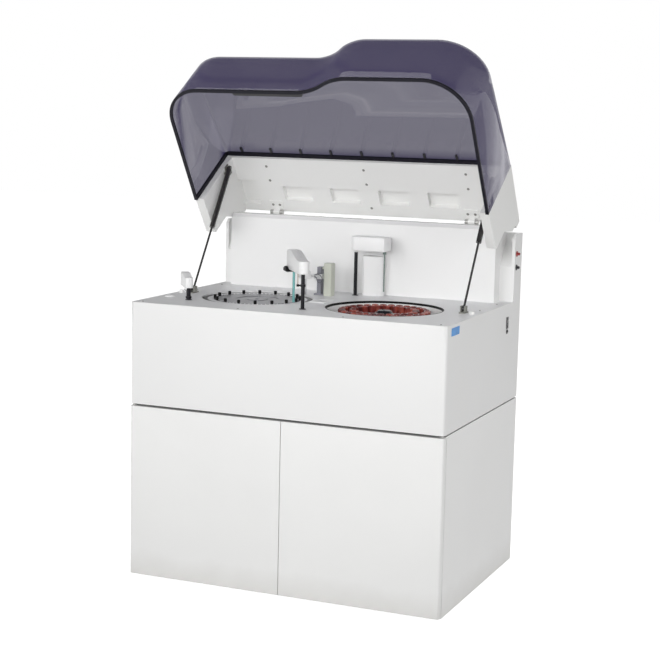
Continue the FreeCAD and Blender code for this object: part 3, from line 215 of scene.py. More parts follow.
# Cabinet: body, doors and rear panel
# Folded steel sheet with a white powder coat: a fine orange peel, and a darker, warmer grey band just
# above the floor. The doors hang on pins at their outer edges.

def wear(node, finish):
    """Gives a CAD node its finish."""
    for held in nodes[node].material_slots:
        held.material = finish.material


def powder_coat(name, tone, darker_near_floor):
    finish = Finish(name)
    dull = tuple(part * 0.965 for part in tone)
    mottle = finish.noise(2.2, 3)
    coat = finish.ramp(mottle, [(0.35, dull), (0.65, tone)])
    if darker_near_floor:
        # A darker, warmer grey band just above the floor.
        above_floor = finish.height() + finish.noise(14, 4) * 0.05
        low_band_share = 1 - finish.ramp(above_floor, [(0.03, (0, 0, 0)), (0.10, (1, 1, 1))])
        coat = finish.mix(low_band_share * 0.35, coat, (0.62, 0.60, 0.56))
    finish.bump(finish.noise(420, 2), 0.00012, 0.5)
    return finish.surface(base_color=coat, roughness=finish.noise(9, 3) * 0.12 + 0.34)


cabinet_coat = powder_coat("cabinet_powder_coat", (0.90, 0.90, 0.89), True)
for node in ("cabinet_shell", "cabinet_rear_panel", "left_door", "right_door"):
    wear(node, cabinet_coat)


# Screws
# Small nickel-plated pan-head screws with a cross recess. They hold the rear panels, the deck plate,
# the hoods of the arms and the lid's frame.

def as_piece(name, shape, body, finish, smooth=35):
    """Makes a mesh object of a finished bmesh, with soft shading up to an angle."""
    mesh = bpy.data.meshes.new(name)
    shape.to_mesh(mesh)
    shape.free()
    mesh.materials.append(finish.material)
    mesh.shade_smooth()
    mesh.set_sharp_from_angle(angle=math.radians(smooth))
    piece = bpy.data.objects.new(name, mesh)
    bpy.context.scene.collection.objects.link(piece)
    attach(piece, body)
    return piece


def turned(profile, segments=24):
    """A bmesh spun about Z from points of (radius, height)."""
    shape = bmesh.new()
    points = [shape.verts.new((radius, 0, height)) for radius, height in profile]
    edges = [shape.edges.new(pair) for pair in zip(points, points[1:])]
    bmesh.ops.spin(shape, geom=points + edges, cent=(0, 0, 0), axis=(0, 0, 1),
                   angle=math.tau, steps=segments, use_merge=True)
    bmesh.ops.remove_doubles(shape, verts=shape.verts, dist=1e-6)
    bmesh.ops.recalc_face_normals(shape, faces=shape.faces)
    return shape


def added(shape, other, matrix):
    """Copies one bmesh into another through a matrix."""
    mesh = bpy.data.meshes.new("copied")
    other.to_mesh(mesh)
    mesh.transform(matrix)
    shape.from_mesh(mesh)
    bpy.data.meshes.remove(mesh)


def moved(shape, matrix):
    """Puts a bmesh through a matrix and hands it back."""
    bmesh.ops.transform(shape, matrix=matrix, verts=shape.verts)
    return shape


def facing(place, direction):
    """A matrix that puts a shape's Z along a direction at a place."""
    turn = Vector(direction).to_track_quat("Z", "Y").to_matrix().to_4x4()
    return Matrix.Translation(Vector(place)) @ turn


def brushed(name, tone, roughness, metallic=1.0):
    finish = Finish(name)
    streak = finish.noise(260, 3, (1, 1, 0.05))
    dark = tuple(part * 0.8 for part in tone)
    finish.surface(base_color=finish.ramp(streak, [(0.3, dark), (0.7, tone)]), metallic=metallic,
                   roughness=streak * 0.12 + roughness)
    finish.bump(streak, 0.00004, 0.4)
    return finish


screw_nickel = brushed("screw_nickel", (0.42, 0.41, 0.39), 0.3)


def screws(name, places, direction, body, radius=0.0034, height=0.0018, move=None):
    """A set of like screws on one face."""
    head = turned([(0, height), (radius * 0.55, height * 0.92), (radius * 0.9, height * 0.5),
                   (radius, 0), (0, 0)], 14)
    for angle in (0, 90):
        slit = bmesh.ops.create_cube(head, size=1)["verts"]
        bmesh.ops.scale(head, verts=slit, vec=(radius * 1.0, radius * 0.2, height * 0.12))
        bmesh.ops.rotate(head, verts=slit, matrix=Matrix.Rotation(math.radians(angle), 3, "Z"))
        bmesh.ops.translate(head, verts=slit, vec=(0, 0, height * 0.95))
    shape = bmesh.new()
    for place in places:
        added(shape, head, facing(place, direction))
    head.free()
    if move:
        moved(shape, move)
    return as_piece(name, shape, body, screw_nickel)


panel_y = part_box("cabinet_rear_panel")[1][1]
screw_columns = (-0.43, -0.15, 0.15, 0.43)
screws("cabinet_rear_screws",
       [(x, panel_y, z) for x in screw_columns for z in (0.02, 0.46)]
       + [(x, panel_y, 0.24) for x in (-0.43, 0.43)], (0, 1, 0), "base")


# Door fittings and feet
# Zinc-plated pivot plates with pins, black push latches on the mullion, and rubber levelling feet on
# short studs.

zinc = brushed("zinc_plate", (0.60, 0.60, 0.58), 0.32)
satin_black = Finish("satin_black_plastic")
satin_black.surface(base_color=satin_black.speckle(30, 3, (0.012, 0.012, 0.014), (0.022, 0.022, 0.025)),
                    roughness=0.38)
satin_black.bump(satin_black.noise(900, 2), 0.00006, 0.5)
foot_rubber = Finish("foot_rubber")
worn = foot_rubber.speckle(60, 4, (0.018, 0.018, 0.018), (0.045, 0.043, 0.04), (0.3, 0.75))
foot_rubber.surface(base_color=worn, roughness=0.8)
foot_rubber.bump(foot_rubber.noise(500, 3), 0.0002, 0.6)
wear("door_pivots", zinc)
wear("door_catches", satin_black)
wear("levelling_feet", foot_rubber)


# Fluid containers in the cabinet
# Blow-moulded natural polyethylene canisters for water and waste: soft shoulders, two moulded bands
# round the walls, a ribbed screw cap with a hose stub.

def slab(low, high, radius=0.0, segments=3, upright_radius=0.0):
    """A bmesh box between two corners; its upright edges and then all its edges may be rounded."""
    shape = bmesh.new()
    bmesh.ops.create_cube(shape, size=1)
    size = Vector(high) - Vector(low)
    middle = (Vector(high) + Vector(low)) / 2
    moved(shape, Matrix.Translation(middle) @ Matrix.Diagonal((*size, 1)))
    if upright_radius:
        upright = [edge for edge in shape.edges
                   if abs(edge.verts[0].co.z - edge.verts[1].co.z) > size.z / 2]
        bmesh.ops.bevel(shape, geom=upright, offset=upright_radius, affect="EDGES", segments=6,
                        profile=0.5, material=-1)
    if radius:
        sharp = [edge for edge in shape.edges if edge.calc_face_angle(0) > math.radians(50)]
        bmesh.ops.bevel(shape, geom=sharp, offset=radius, affect="EDGES", segments=segments,
                        profile=0.5, material=-1)
    return shape


polyethylene = Finish("natural_polyethylene")
filled = polyethylene.ramp(polyethylene.height(),
                           [(0.235, (0.60, 0.60, 0.55)), (0.245, (0.74, 0.73, 0.67))])
polyethylene.surface(base_color=filled, roughness=0.42, subsurface_weight=0.15)
polyethylene.bump(polyethylene.noise(90, 3), 0.0006, 0.3)
cap_white = Finish("canister_cap")
cap_white.surface(base_color=cap_white.speckle(40, 2, (0.55, 0.55, 0.54), (0.62, 0.62, 0.60)),
                  roughness=0.45)
cap_white.bump(cap_white.noise(700, 2), 0.00005, 0.5)

tank_low, tank_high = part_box("fluid_tanks")
tank_half = Vector((0.12, 0.11, 0))
tank_wall = Vector((0, 0, 0.30))
tank_reach = tank_high[0] - tank_half.x
tank_y = (tank_low[1] + tank_high[1]) / 2
tank_bodies = bmesh.new()
tank_caps = bmesh.new()
for side in (-1, 1):
    centre = Vector((side * tank_reach, tank_y, tank_low[2]))
    walls = slab(-tank_half, tank_half + tank_wall, 0.008, 3, 0.02)
    for low, high in ((0.06, 0.075), (0.22, 0.235)):
        for at in (low, high):
            bmesh.ops.bisect_plane(walls, geom=walls.verts[:] + walls.edges[:] + walls.faces[:],
                                   plane_co=(0, 0, at), plane_no=(0, 0, 1))
        band = [face for face in walls.faces
                if low - 1e-5 < face.calc_center_median().z < high + 1e-5 and abs(face.normal.z) < 0.1]
        bmesh.ops.inset_region(walls, faces=band, thickness=0.003, depth=-0.003)
    added(tank_bodies, walls, Matrix.Translation(centre))
    walls.free()
    cap = turned([(0, 0.022), (0.026, 0.022), (0.0285, 0.0195), (0.0295, 0), (0, 0)], 48)
    ribs = [face for face in cap.faces if abs(face.normal.z) < 0.3 and face.calc_area() > 1e-6]
    bmesh.ops.inset_individual(cap, faces=ribs[::2], thickness=0.0002, depth=-0.0007)
    stub = turned([(0, 0.021), (0.004, 0.021), (0.004, 0.030), (0.005, 0.0305), (0.0035, 0.036),
                   (0.0025, 0.036), (0.0025, 0.024), (0, 0.024)], 16)
    added(cap, stub, Matrix.Translation((0.011, 0, 0)))
    stub.free()
    added(tank_caps, cap, Matrix.Translation(centre + tank_wall))
    cap.free()
tanks = as_piece("canisters", tank_bodies, "base", polyethylene)
caps = as_piece("canister_caps", tank_caps, "base", cap_white)
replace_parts(tanks, "fluid_tanks")
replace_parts(caps, "fluid_tanks")


# Instrument housing and the tray it stands on
# The housing is one deep moulded cover in white structural foam, finely textured, with a long wave
# crease pressed across its front. The tray under it is folded steel, painted near-black as the shade
# of the seam between housing and cabinet.

def moulded(name, tone, roughness=0.36):
    finish = Finish(name)
    dull = tuple(part * 0.97 for part in tone)
    warm = (tone[0] * 0.98, tone[1] * 0.965, tone[2] * 0.93)
    aged = finish.ramp(finish.noise(1.6, 3), [(0.3, dull), (0.55, tone), (0.85, warm)])
    finish.surface(base_color=aged, roughness=finish.noise(12, 3) * 0.1 + roughness)
    finish.bump(finish.noise(600, 2), 0.00008, 0.5)
    return finish


housing_white = moulded("housing_white", (0.835, 0.835, 0.83))
# Painted shade: the tray is near-black so that its edge reads as the shaded seam under the housing.
seam_shade_black = powder_coat("tray_black_coat", (0.035, 0.035, 0.037), False)
wear("upper_housing", housing_white)
wear("upper_tray", seam_shade_black)
wear("upper_rear_panel", cabinet_coat)
screws("housing_rear_screws",
       [(x, panel_y, z) for x in screw_columns for z in (0.50, 0.74)], (0, 1, 0), "base")


# Plain sticker on the right side
# A small blue vinyl label with rounded corners, stuck upright on the housing's side wall near the
# deck's front corner.

vinyl = Finish("blue_vinyl")
printed = vinyl.speckle(55, 3, (0.01, 0.21, 0.60), (0.03, 0.32, 0.80), (0.25, 0.75))
vinyl.surface(base_color=printed, roughness=0.3, specular_ior_level=0.2)
vinyl.bump(vinyl.noise(150, 2), 0.0001, 0.3)
right_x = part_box("upper_housing")[1][0]
label_at = (-0.2545, 0.741)
label_size = Vector((0.021, 0.063, 0))
label_film = Vector((0, 0, 0.0003))
label = slab(-label_size / 2, label_size / 2 + label_film, upright_radius=0.003)
moved(label, Matrix.Translation((right_x, *label_at)) @ Matrix.Rotation(math.pi / 2, 4, "Y"))
as_piece("blank_label", label, "base", vinyl)


# Power inlet, switch and lamp
# Black moulded fittings in the right wall and the back: a rocker switch with a round indicator under
# it, and an inlet for a mains lead.

gloss_black = Finish("gloss_black_plastic")
gloss_black.surface(base_color=gloss_black.speckle(25, 3, (0.008, 0.008, 0.009), (0.016, 0.016, 0.018)),
                    roughness=0.22)
gloss_black.bump(gloss_black.noise(300, 2), 0.00004, 0.3)
wear("power_inlet", satin_black)
wear("switch_bezel", satin_black)
wear("switch_rocker", gloss_black)
indicator_at = (right_x, 0.197, 0.683)
lamp_body = turned([(0, 0.0035), (0.0035, 0.003), (0.0048, 0.002), (0.0062, 0.0015), (0.0066, 0),
                    (0, 0)], 28)
moved(lamp_body, facing(indicator_at, (1, 0, 0)))
as_piece("round_indicator", lamp_body, "base", gloss_black)


# Rear housing, hood and hose ports
# White moulded covers that close the back of the deck, and two hose fittings in the right fin, the
# upper one red and the lower one black.

wear("rear_housing", housing_white)
hood_white = moulded("hood_white", (0.875, 0.875, 0.87), 0.16)
wear("back_wall", hood_white)
port_red = moulded("port_red", (0.32, 0.025, 0.025), 0.3)
port_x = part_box("fluid_ports")[0][0]
port_y = 0.266
hose_tail = [(0, 0), (0.0050, 0), (0.0050, 0.0090), (0.0080, 0.0090), (0.0080, 0.0104),
             (0.0074, 0.0110), (0.0042, 0.0110), (0.0036, 0.0132), (0.0042, 0.0136), (0.0036, 0.0156),
             (0.0042, 0.0160), (0.0034, 0.0180), (0.0020, 0.0180), (0.0020, 0.0010), (0, 0.0010)]
for name, z, finish in (("upper_port", 0.894, port_red), ("lower_port", 0.856, satin_black)):
    fitting = moved(turned(hose_tail, 24), facing((port_x, port_y, z), (1, 0, 0)))
    piece = as_piece(name, fitting, "base", finish)
    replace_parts(piece, "fluid_ports")


# Deck
# A flat steel plate with a pale grey satin coat, pierced for the two turntables and the three posts,
# and held down by small screws along its edges.

deck_coat = powder_coat("deck_satin_coat", (0.85, 0.853, 0.86), False)
wear("deck_plate", deck_coat)
deck_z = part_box("deck_plate")[1][2]
deck_front_y = -0.295
deck_side_x = 0.425
screws("deck_screws",
       [(x, y, deck_z) for x in (-deck_side_x, deck_side_x) for y in (deck_front_y, 0.02, 0.175)]
       + [(x, deck_front_y, deck_z) for x in (-0.14, 0.16)], (0, 0, 1), "base", 0.003, 0.0012)


# Wells, motors and guide bushes under the deck
# Black thermoformed well on the left, white one on the right, flanged motors below, and black
# plastic bushes that guide the posts.

aluminium = brushed("anodised_aluminium", (0.68, 0.69, 0.70), 0.34)
motor_steel = brushed("motor_steel", (0.45, 0.45, 0.46), 0.4)
well_white = moulded("well_white", (0.82, 0.82, 0.82), 0.3)
wear("reaction_well", satin_black)
wear("reagent_well", well_white)
wear("disc_motors", motor_steel)
wear("arm_bushes", satin_black)


# Reaction turntable
# A grey anodised disc carries a white moulded ring of cuvettes; its outer band is painted near-black
# as the shade in the gap round it. Black nuts in a shallow groove clamp it, and three cuvette mouths,
# painted dark as the shade inside them, show in the groove between each two nuts.

def middle_of(node):
    """The middle of a CAD node in plan, at height 0."""
    low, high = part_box(node)
    return Vector(((low[0] + high[0]) / 2, (low[1] + high[1]) / 2, 0))


reaction = middle_of("cuvette_ring")
disc_grey = brushed("disc_grey_anodised", (0.36, 0.36, 0.38), 0.36, 0.6)
ring_white = moulded("ring_white", (0.80, 0.80, 0.81), 0.34)
gap_shade_width = 0.011
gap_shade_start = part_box("cuvette_ring")[1][0] - reaction.x - gap_shade_width
flat = ring_white.node("ShaderNodeMapping", {},
                       {"Vector": ring_white.place(), "Location": -reaction, "Scale": (1, 1, 0)})
from_axis = ring_white.node("ShaderNodeVectorMath", {"operation": "LENGTH"}, {0: flat}, output="Value")
# Painted shade: the ring's outer band is near-black for the shaded gap between ring and deck opening.
gap_shade_mask = ring_white.ramp(from_axis, [(gap_shade_start, (0, 0, 0)), (gap_shade_start + 0.0006, (1, 1, 1))])
ring_white.surface(base_color=ring_white.mix(gap_shade_mask, (0.79, 0.79, 0.80), (0.012, 0.012, 0.014)))
wear("reaction_disc", disc_grey)
wear("cuvette_ring", ring_white)
knob_black = Finish("knob_black")
knob_black.surface(base_color=knob_black.speckle(90, 2, (0.003, 0.003, 0.003), (0.008, 0.008, 0.009)),
                   roughness=0.5, specular_ior_level=0.2)


def around(shape, other, centre, reach, height, count, skipped=0):
    """Copies a bmesh round a turntable; every so many places may be left out."""
    for index in range(count):
        if not skipped or index % skipped:
            turn = Matrix.Rotation(math.tau * index / count, 4, "Z")
            out = Matrix.Translation((reach, 0, height))
            added(shape, other, Matrix.Translation(centre) @ turn @ out)


groove_radius = 0.118
groove_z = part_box("cuvette_knobs")[0][2]
nut_count = 16
nut = turned([(0, 0.0130), (0.0012, 0.0124), (0.0030, 0.0130), (0.0040, 0.0124), (0.0044, 0.0112),
              (0.0044, 0.0045), (0.0037, 0.0040), (0.0037, 0), (0, 0)], 20)
nuts = bmesh.new()
around(nuts, nut, reaction, groove_radius, groove_z, nut_count)
nut.free()
knobs = as_piece("clamping_nuts", nuts, "reaction_turntable", knob_black)
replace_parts(knobs, "cuvette_knobs")
cell = slab((-0.0028, -0.0036, 0), (0.0028, 0.0036, 0.0026), 0.0003, 1)
mouth = [face for face in cell.faces if face.normal.z > 0.9]
mouth_depth = 0.0012
bmesh.ops.inset_region(cell, faces=mouth, thickness=0.0007, depth=0)
bmesh.ops.translate(cell, verts=list({vert for face in mouth for vert in face.verts}),
                    vec=(0, 0, -mouth_depth))
cells = bmesh.new()
cell_z = groove_z + 0.0005
around(cells, cell, reaction, groove_radius, cell_z, 4 * nut_count, 4)
cell.free()
# Painted shade: the cuvette cells are dark to stand for the shade inside their mouths.
cuvette_smoke = Finish("cuvette_smoke")
cuvette_smoke.surface(base_color=cuvette_smoke.speckle(120, 2, (0.035, 0.035, 0.04), (0.10, 0.10, 0.11)),
                      roughness=0.2)
as_piece("cuvette_mouths", cells, "reaction_turntable", cuvette_smoke)


# Reagent turntable
# A white moulded rotor sunk in its well, with two rings of amber bottles under tall red-brown ribbed
# caps. It is lifted by the black knob in its middle, and a black liner ring edges the opening.

reagent = middle_of("reagent_rotor")
rotor_white = moulded("rotor_white", (0.80, 0.80, 0.79), 0.3)
wear("reagent_rotor", rotor_white)
wear("well_trim", knob_black)
amber = Finish("amber_glass")
amber.surface(base_color=amber.speckle(70, 2, (0.10, 0.03, 0.008), (0.17, 0.055, 0.015)), roughness=0.12)
wear("reagent_bottles", amber)
cap_brown = Finish("red_brown_caps")
tint = cap_brown.ramp(cap_brown.noise(34, 1), [(0.32, (0.07, 0.008, 0.008)), (0.5, (0.20, 0.028, 0.022)),
                                               (0.68, (0.38, 0.08, 0.05))])
cap_brown.surface(base_color=tint, roughness=0.28, coat_weight=0.25)
cap_brown.bump(cap_brown.noise(800, 2), 0.00005, 0.4)
ribbed = turned([(0, 0.0165), (0.0058, 0.0165), (0.0062, 0.0180), (0.0084, 0.0180), (0.0093, 0.0171),
                 (0.0098, 0.0012), (0.0098, 0), (0, 0)], 30)
flutes = [face for face in ribbed.faces
          if abs(face.normal.z) < 0.2 and face.calc_center_median().xy.length > 0.009
          and face.calc_area() > 8e-6]
bmesh.ops.inset_individual(ribbed, faces=flutes[::2], thickness=0.0002, depth=-0.0005)
cap_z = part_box("bottle_caps")[0][2]
all_caps = bmesh.new()
for circle, count in ((0.115, 32), (0.085, 24)):
    around(all_caps, ribbed, reagent, circle, cap_z, count)
ribbed.free()
bottle_caps = as_piece("ribbed_caps", all_caps, "reagent_turntable", cap_brown)
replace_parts(bottle_caps, "bottle_caps")
grip = turned([(0, 0.0160), (0.0060, 0.0170), (0.0160, 0.0170), (0.0185, 0.0158), (0.0230, 0.0105),
               (0.0180, 0.0100), (0.0180, 0.0052), (0.0230, 0.0046), (0.0230, 0.0005), (0.0225, 0),
               (0, 0)], 48)
grip_foot = Vector((0, 0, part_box("rotor_hub")[0][2]))
moved(grip, Matrix.Translation(reagent + grip_foot))
hub = as_piece("rotor_knob", grip, "reagent_turntable", gloss_black)
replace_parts(hub, "rotor_hub")


# Posts of the three arms
# Ground steel shafts with a black oxide finish, the two deck posts each with a clamping collar, the
# back one with a white plastic ring under its head. The drive pulleys below the deck are aluminium.

black_oxide = brushed("black_oxide", (0.010, 0.010, 0.013), 0.34, 0.3)
arm_white = moulded("arm_white", (0.86, 0.86, 0.86), 0.28)
wear("sampler_shaft", black_oxide)
wear("mixer_shaft", black_oxide)
wear("sampler_pulley", aluminium)
wear("reagent_arm_pulley", aluminium)
low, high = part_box("reagent_arm_shaft")
post_at = middle_of("reagent_arm_shaft")
ring_height = 0.006
ring_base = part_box("reagent_arm_head")[0][2] - ring_height
back_post = turned([(0, low[2]), (0.0044, low[2]), (0.0050, low[2] + 0.0006), (0.0050, high[2]),
                    (0, high[2])], 40)
moved(back_post, Matrix.Translation(post_at))
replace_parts(as_piece("back_post", back_post, "reagent_arm", black_oxide),
            "reagent_arm_shaft")
ring = turned([(0.0050, 0), (0.0064, 0), (0.0070, 0.0006), (0.0070, 0.0054), (0.0064, ring_height),
               (0.0050, ring_height), (0.0050, 0)], 40)
moved(ring, Matrix.Translation(post_at + Vector((0, 0, ring_base))))
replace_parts(as_piece("back_post_ring", ring, "reagent_arm", arm_white),
            "reagent_arm_shaft")


# Guide rod and thumb screw of the sampling arm
# A thin rod hangs from the hood beside the post, held by a black knurled screw in the collar, and
# keeps the arm from turning on its shaft.

sampler_post = middle_of("sampler_shaft")
aside = Vector((-0.92, -0.39, 0)).normalized()
collar_radius = 0.0066
rod_reach = 0.0135
screw_height = Vector((0, 0, 0.823))
screw = turned([(0, 0), (0.0022, 0), (0.0022, 0.0030), (0.0034, 0.0032), (0.0034, 0.0098),
                (0.0028, 0.0104), (0, 0.0104)], 20)
grips = [face for face in screw.faces
         if abs(face.normal.z) < 0.2 and face.calc_center_median().xy.length > 0.003]
bmesh.ops.inset_individual(screw, faces=grips[::2], thickness=0.0001, depth=-0.0004)
moved(screw, facing(sampler_post + aside * collar_radius + screw_height, aside))
as_piece("collar_thumb_screw", screw, "sampler_arm", gloss_black)
rod_tan = brushed("guide_rod_tan", (0.46, 0.36, 0.30), 0.35, 0.4)
rod = turned([(0, 0.8245), (0.0011, 0.8245), (0.0013, 0.8250), (0.0013, 0.8550), (0, 0.8550)], 14)
moved(rod, Matrix.Translation(sampler_post + aside * rod_reach))
as_piece("guide_rod", rod, "sampler_arm", rod_tan)


# Covers of the three arms
# White moulded hoods in two halves, their long edges well rounded and a fine seam along the middle,
# held by small screws. Each hides a tube that runs to the probe.

def arm_matrix(x, y, angle):
    return Matrix.Translation((x, y, 0)) @ Matrix.Rotation(math.radians(angle - 90), 4, "Z")


def arm_cover(outline, half, corner, radius):
    """A hood drawn as a side outline of (reach, height), extruded across and round at its post end."""
    shape = bmesh.new()
    corners = [shape.verts.new((-half, reach, height)) for reach, height in outline]
    side = shape.faces.new(corners)
    pushed = bmesh.ops.extrude_face_region(shape, geom=[side])["geom"]
    bmesh.ops.translate(shape, verts=[item for item in pushed if isinstance(item, bmesh.types.BMVert)],
                        vec=(2 * half, 0, 0))
    bmesh.ops.recalc_face_normals(shape, faces=shape.faces)
    back = min(reach for reach, height in outline)
    post_end = [edge for edge in shape.edges if all(vert.co.y < back + 1e-5 for vert in edge.verts)
                and abs(edge.verts[0].co.z - edge.verts[1].co.z) > corner]
    bmesh.ops.bevel(shape, geom=post_end, offset=corner, affect="EDGES", segments=8,
                    profile=0.5, material=-1)
    sharp = [edge for edge in shape.edges if edge.calc_face_angle(0) > math.radians(15)]
    bmesh.ops.bevel(shape, geom=sharp, offset=radius, affect="EDGES", segments=3,
                    profile=0.5, material=-1)
    for seam_side in (-0.00035, 0.00035):
        bmesh.ops.bisect_plane(shape, geom=shape.verts[:] + shape.edges[:] + shape.faces[:],
                               plane_co=(seam_side, 0, 0), plane_no=(1, 0, 0))
    seam = [face for face in shape.faces if abs(face.calc_center_median().x) < 0.0002]
    bmesh.ops.inset_region(shape, faces=seam, thickness=0.00005, depth=-0.0006)
    return shape


def arm_piece(name, outline, half, corner, radius, at, body, node):
    shape = moved(arm_cover(outline, half, corner, radius), arm_matrix(*at))
    piece = as_piece(name, shape, body, arm_white, 40)
    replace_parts(piece, node)


sampler_at = (*sampler_post.xy, 126.7)
sampler_half = 0.015
arm_piece("sampler_hood",
          [(-0.020, 0.854), (-0.020, 0.888), (0.012, 0.888), (0.085, 0.907), (0.130, 0.907),
           (0.140, 0.897), (0.140, 0.854)],
          sampler_half, 0.0138, 0.0018, sampler_at, "sampler_arm", "sampler_head")
reagent_at = (*post_at.xy, -2.5)
arm_piece("reagent_arm_hood",
          [(-0.0085, 0.890), (-0.0085, 0.930), (0.093, 0.930), (0.097, 0.926), (0.097, 0.890)],
          0.026, 0.016, 0.0022, reagent_at, "reagent_arm", "reagent_arm_head")
mixer_at = (*middle_of("mixer_shaft").xy, 128.0)
mixer_half = 0.011
arm_piece("mixer_hood",
          [(-0.013, 0.793), (-0.013, 0.822), (0.010, 0.822), (0.036, 0.831), (0.064, 0.831),
           (0.068, 0.827), (0.068, 0.793)],
          mixer_half, 0.0098, 0.0015, mixer_at, "mixer_arm", "mixer_head")


def on_arm(at, points):
    return [tuple(arm_matrix(*at) @ Vector(point)) for point in points]


def across(at):
    return arm_matrix(*at).to_3x3() @ Vector((1, 0, 0))


screws("sampler_hood_screws",
       on_arm(sampler_at, [(sampler_half, 0.02, 0.872), (sampler_half, 0.12, 0.880)]),
       across(sampler_at), "sampler_arm", 0.0022, 0.0012)
screws("mixer_hood_screws", on_arm(mixer_at, [(mixer_half, 0.022, 0.808)]),
       across(mixer_at), "mixer_arm", 0.002, 0.001)


# Probes and the stirring paddle
# Steel needles inside teal guard tubes. The sampler's tube hangs from a black moulded holder with a
# wedge on its left side and a white plug; the paddle is stainless, on a thin stem.

teal = Finish("teal_guard_tube")
teal.surface(base_color=teal.speckle(90, 2, (0.14, 0.36, 0.36), (0.20, 0.45, 0.44)), roughness=0.25)
stainless = brushed("stainless_needle", (0.66, 0.67, 0.68), 0.2)
smoky_teal = Finish("smoky_teal_tube")
smoky_teal.surface(base_color=smoky_teal.speckle(90, 2, (0.16, 0.21, 0.19), (0.24, 0.29, 0.27)),
                   roughness=0.25)
wear("reagent_arm_probe", smoky_teal)
wear("mixer_paddle", stainless)
tube = turned([(0.0022, 0.764), (0.0030, 0.764), (0.0035, 0.7655), (0.0035, 0.848), (0.0020, 0.848),
               (0.0020, 0.7655), (0.0022, 0.764)], 28)
needle = turned([(0, 0.7642), (0.0004, 0.7645), (0.0008, 0.768), (0.0008, 0.848), (0, 0.848)], 12)
probe_reach = 0.112
probe_place = Matrix.Translation(arm_matrix(*sampler_at) @ Vector((0, probe_reach, 0)))
for part, name, finish, slot in ((tube, "guard_tube", teal, "teal_plastic"),
                                 (needle, "needle", stainless, "steel")):
    moved(part, probe_place)
    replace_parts(as_piece("sampler_" + name, part, "sampler_arm", finish), "sampler_probe")
holder_low = Vector((-0.023, 0.104, 0.848))
holder_high = Vector((0.011, 0.146, 0.854))
wedge_right = -0.0151
wedge_top = 0.862
holder = slab(holder_low, holder_high, 0.0012, 2, 0.003)
wedge = slab((holder_low.x, holder_low.y, holder_high.z), (wedge_right, holder_high.y, wedge_top))
crest = [vert for vert in wedge.verts if vert.co.z > wedge_top - 1e-4]
halfway = Matrix.Translation((0, -(holder_low.y + holder_high.y) / 2, 0))
bmesh.ops.scale(wedge, verts=crest, vec=(1, 0.12, 1), space=halfway)
bmesh.ops.bevel(wedge, geom=wedge.edges[:], offset=0.0007, affect="EDGES", segments=2,
                profile=0.5, material=-1)
added(holder, wedge, Matrix.Identity(4))
wedge.free()
moved(holder, arm_matrix(*sampler_at))
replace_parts(as_piece("probe_holder", holder, "sampler_arm", knob_black), "sampler_probe")
plug = turned([(0, 0), (0.0032, 0), (0.0036, 0.0010), (0.0036, 0.0040), (0.0028, 0.0048),
               (0, 0.0048)], 20)
plug_at = (-0.0200, 0.1455, 0.8545)
moved(plug, arm_matrix(*sampler_at) @ facing(plug_at, (0, 1, 0)))
as_piece("holder_plug", plug, "sampler_arm", arm_white)


# Wash station, rinse wells and the white column cover
# A grey column carries a white lifting head with four steel needles over the cuvettes. Dark fittings
# stand on the head, a stiff formed tube loops back to it, and the rinse wells are white.

column_grey = brushed("column_grey_anodised", (0.30, 0.30, 0.34), 0.4, 0.5)
wear("wash_column", column_grey)
pump_beige = moulded("pump_beige", (0.60, 0.62, 0.54), 0.4)
wear("wash_block", pump_beige)
wear("wash_wells", arm_white)
wear("rear_tower", arm_white)
manifold_at = Matrix.Translation((-0.100, 0.044, 0)) @ Matrix.Rotation(math.radians(45), 4, "Z")
needle_rows = (-0.0135, -0.0045, 0.0045, 0.0135)
head_foot = 0.812
head_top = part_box("wash_head")[1][2]
head = slab((-0.012, -0.022, head_foot), (0.012, 0.022, head_top), 0.0012, 3, 0.003)
moved(head, manifold_at)
link_foot = 0.806
link_top = 0.820
for x0, x1, y0, y1, z0 in ((-0.097, -0.085, 0.050, 0.094, head_foot),
                           (-0.090, -0.066, 0.091, 0.0966, link_foot),
                           (-0.090, -0.066, 0.1174, 0.123, link_foot),
                           (-0.090, -0.0844, 0.094, 0.120, link_foot),
                           (-0.0716, -0.066, 0.094, 0.120, link_foot)):
    part = slab((x0, y0, z0), (x1, y1, link_top), 0.0008, 2)
    added(head, part, Matrix.Identity(4))
    part.free()
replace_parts(as_piece("lifting_head", head, "wash_head", arm_white), "wash_head")
needle = turned([(0, 0.7660), (0.0008, 0.7664), (0.0012, 0.7690), (0.0012, head_foot),
                 (0, head_foot)], 14)
fitting = turned([(0, 0.8328), (0.0030, 0.8328), (0.0030, 0.8350), (0.0021, 0.8354), (0.0021, 0.8384),
                  (0.0026, 0.8388), (0.0026, 0.8406), (0.0014, 0.8412), (0, 0.8412)], 16)
rinse_needles = bmesh.new()
hose_fittings = bmesh.new()
for row in needle_rows:
    added(rinse_needles, needle, manifold_at @ Matrix.Translation((0, row, 0)))
    added(hose_fittings, fitting, manifold_at @ Matrix.Translation((0.003, row, 0)))
needle.free()
fitting.free()
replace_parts(as_piece("rinse_needles", rinse_needles, "wash_head", stainless), "wash_head")
as_piece("hose_fittings", hose_fittings, "wash_head", gloss_black)


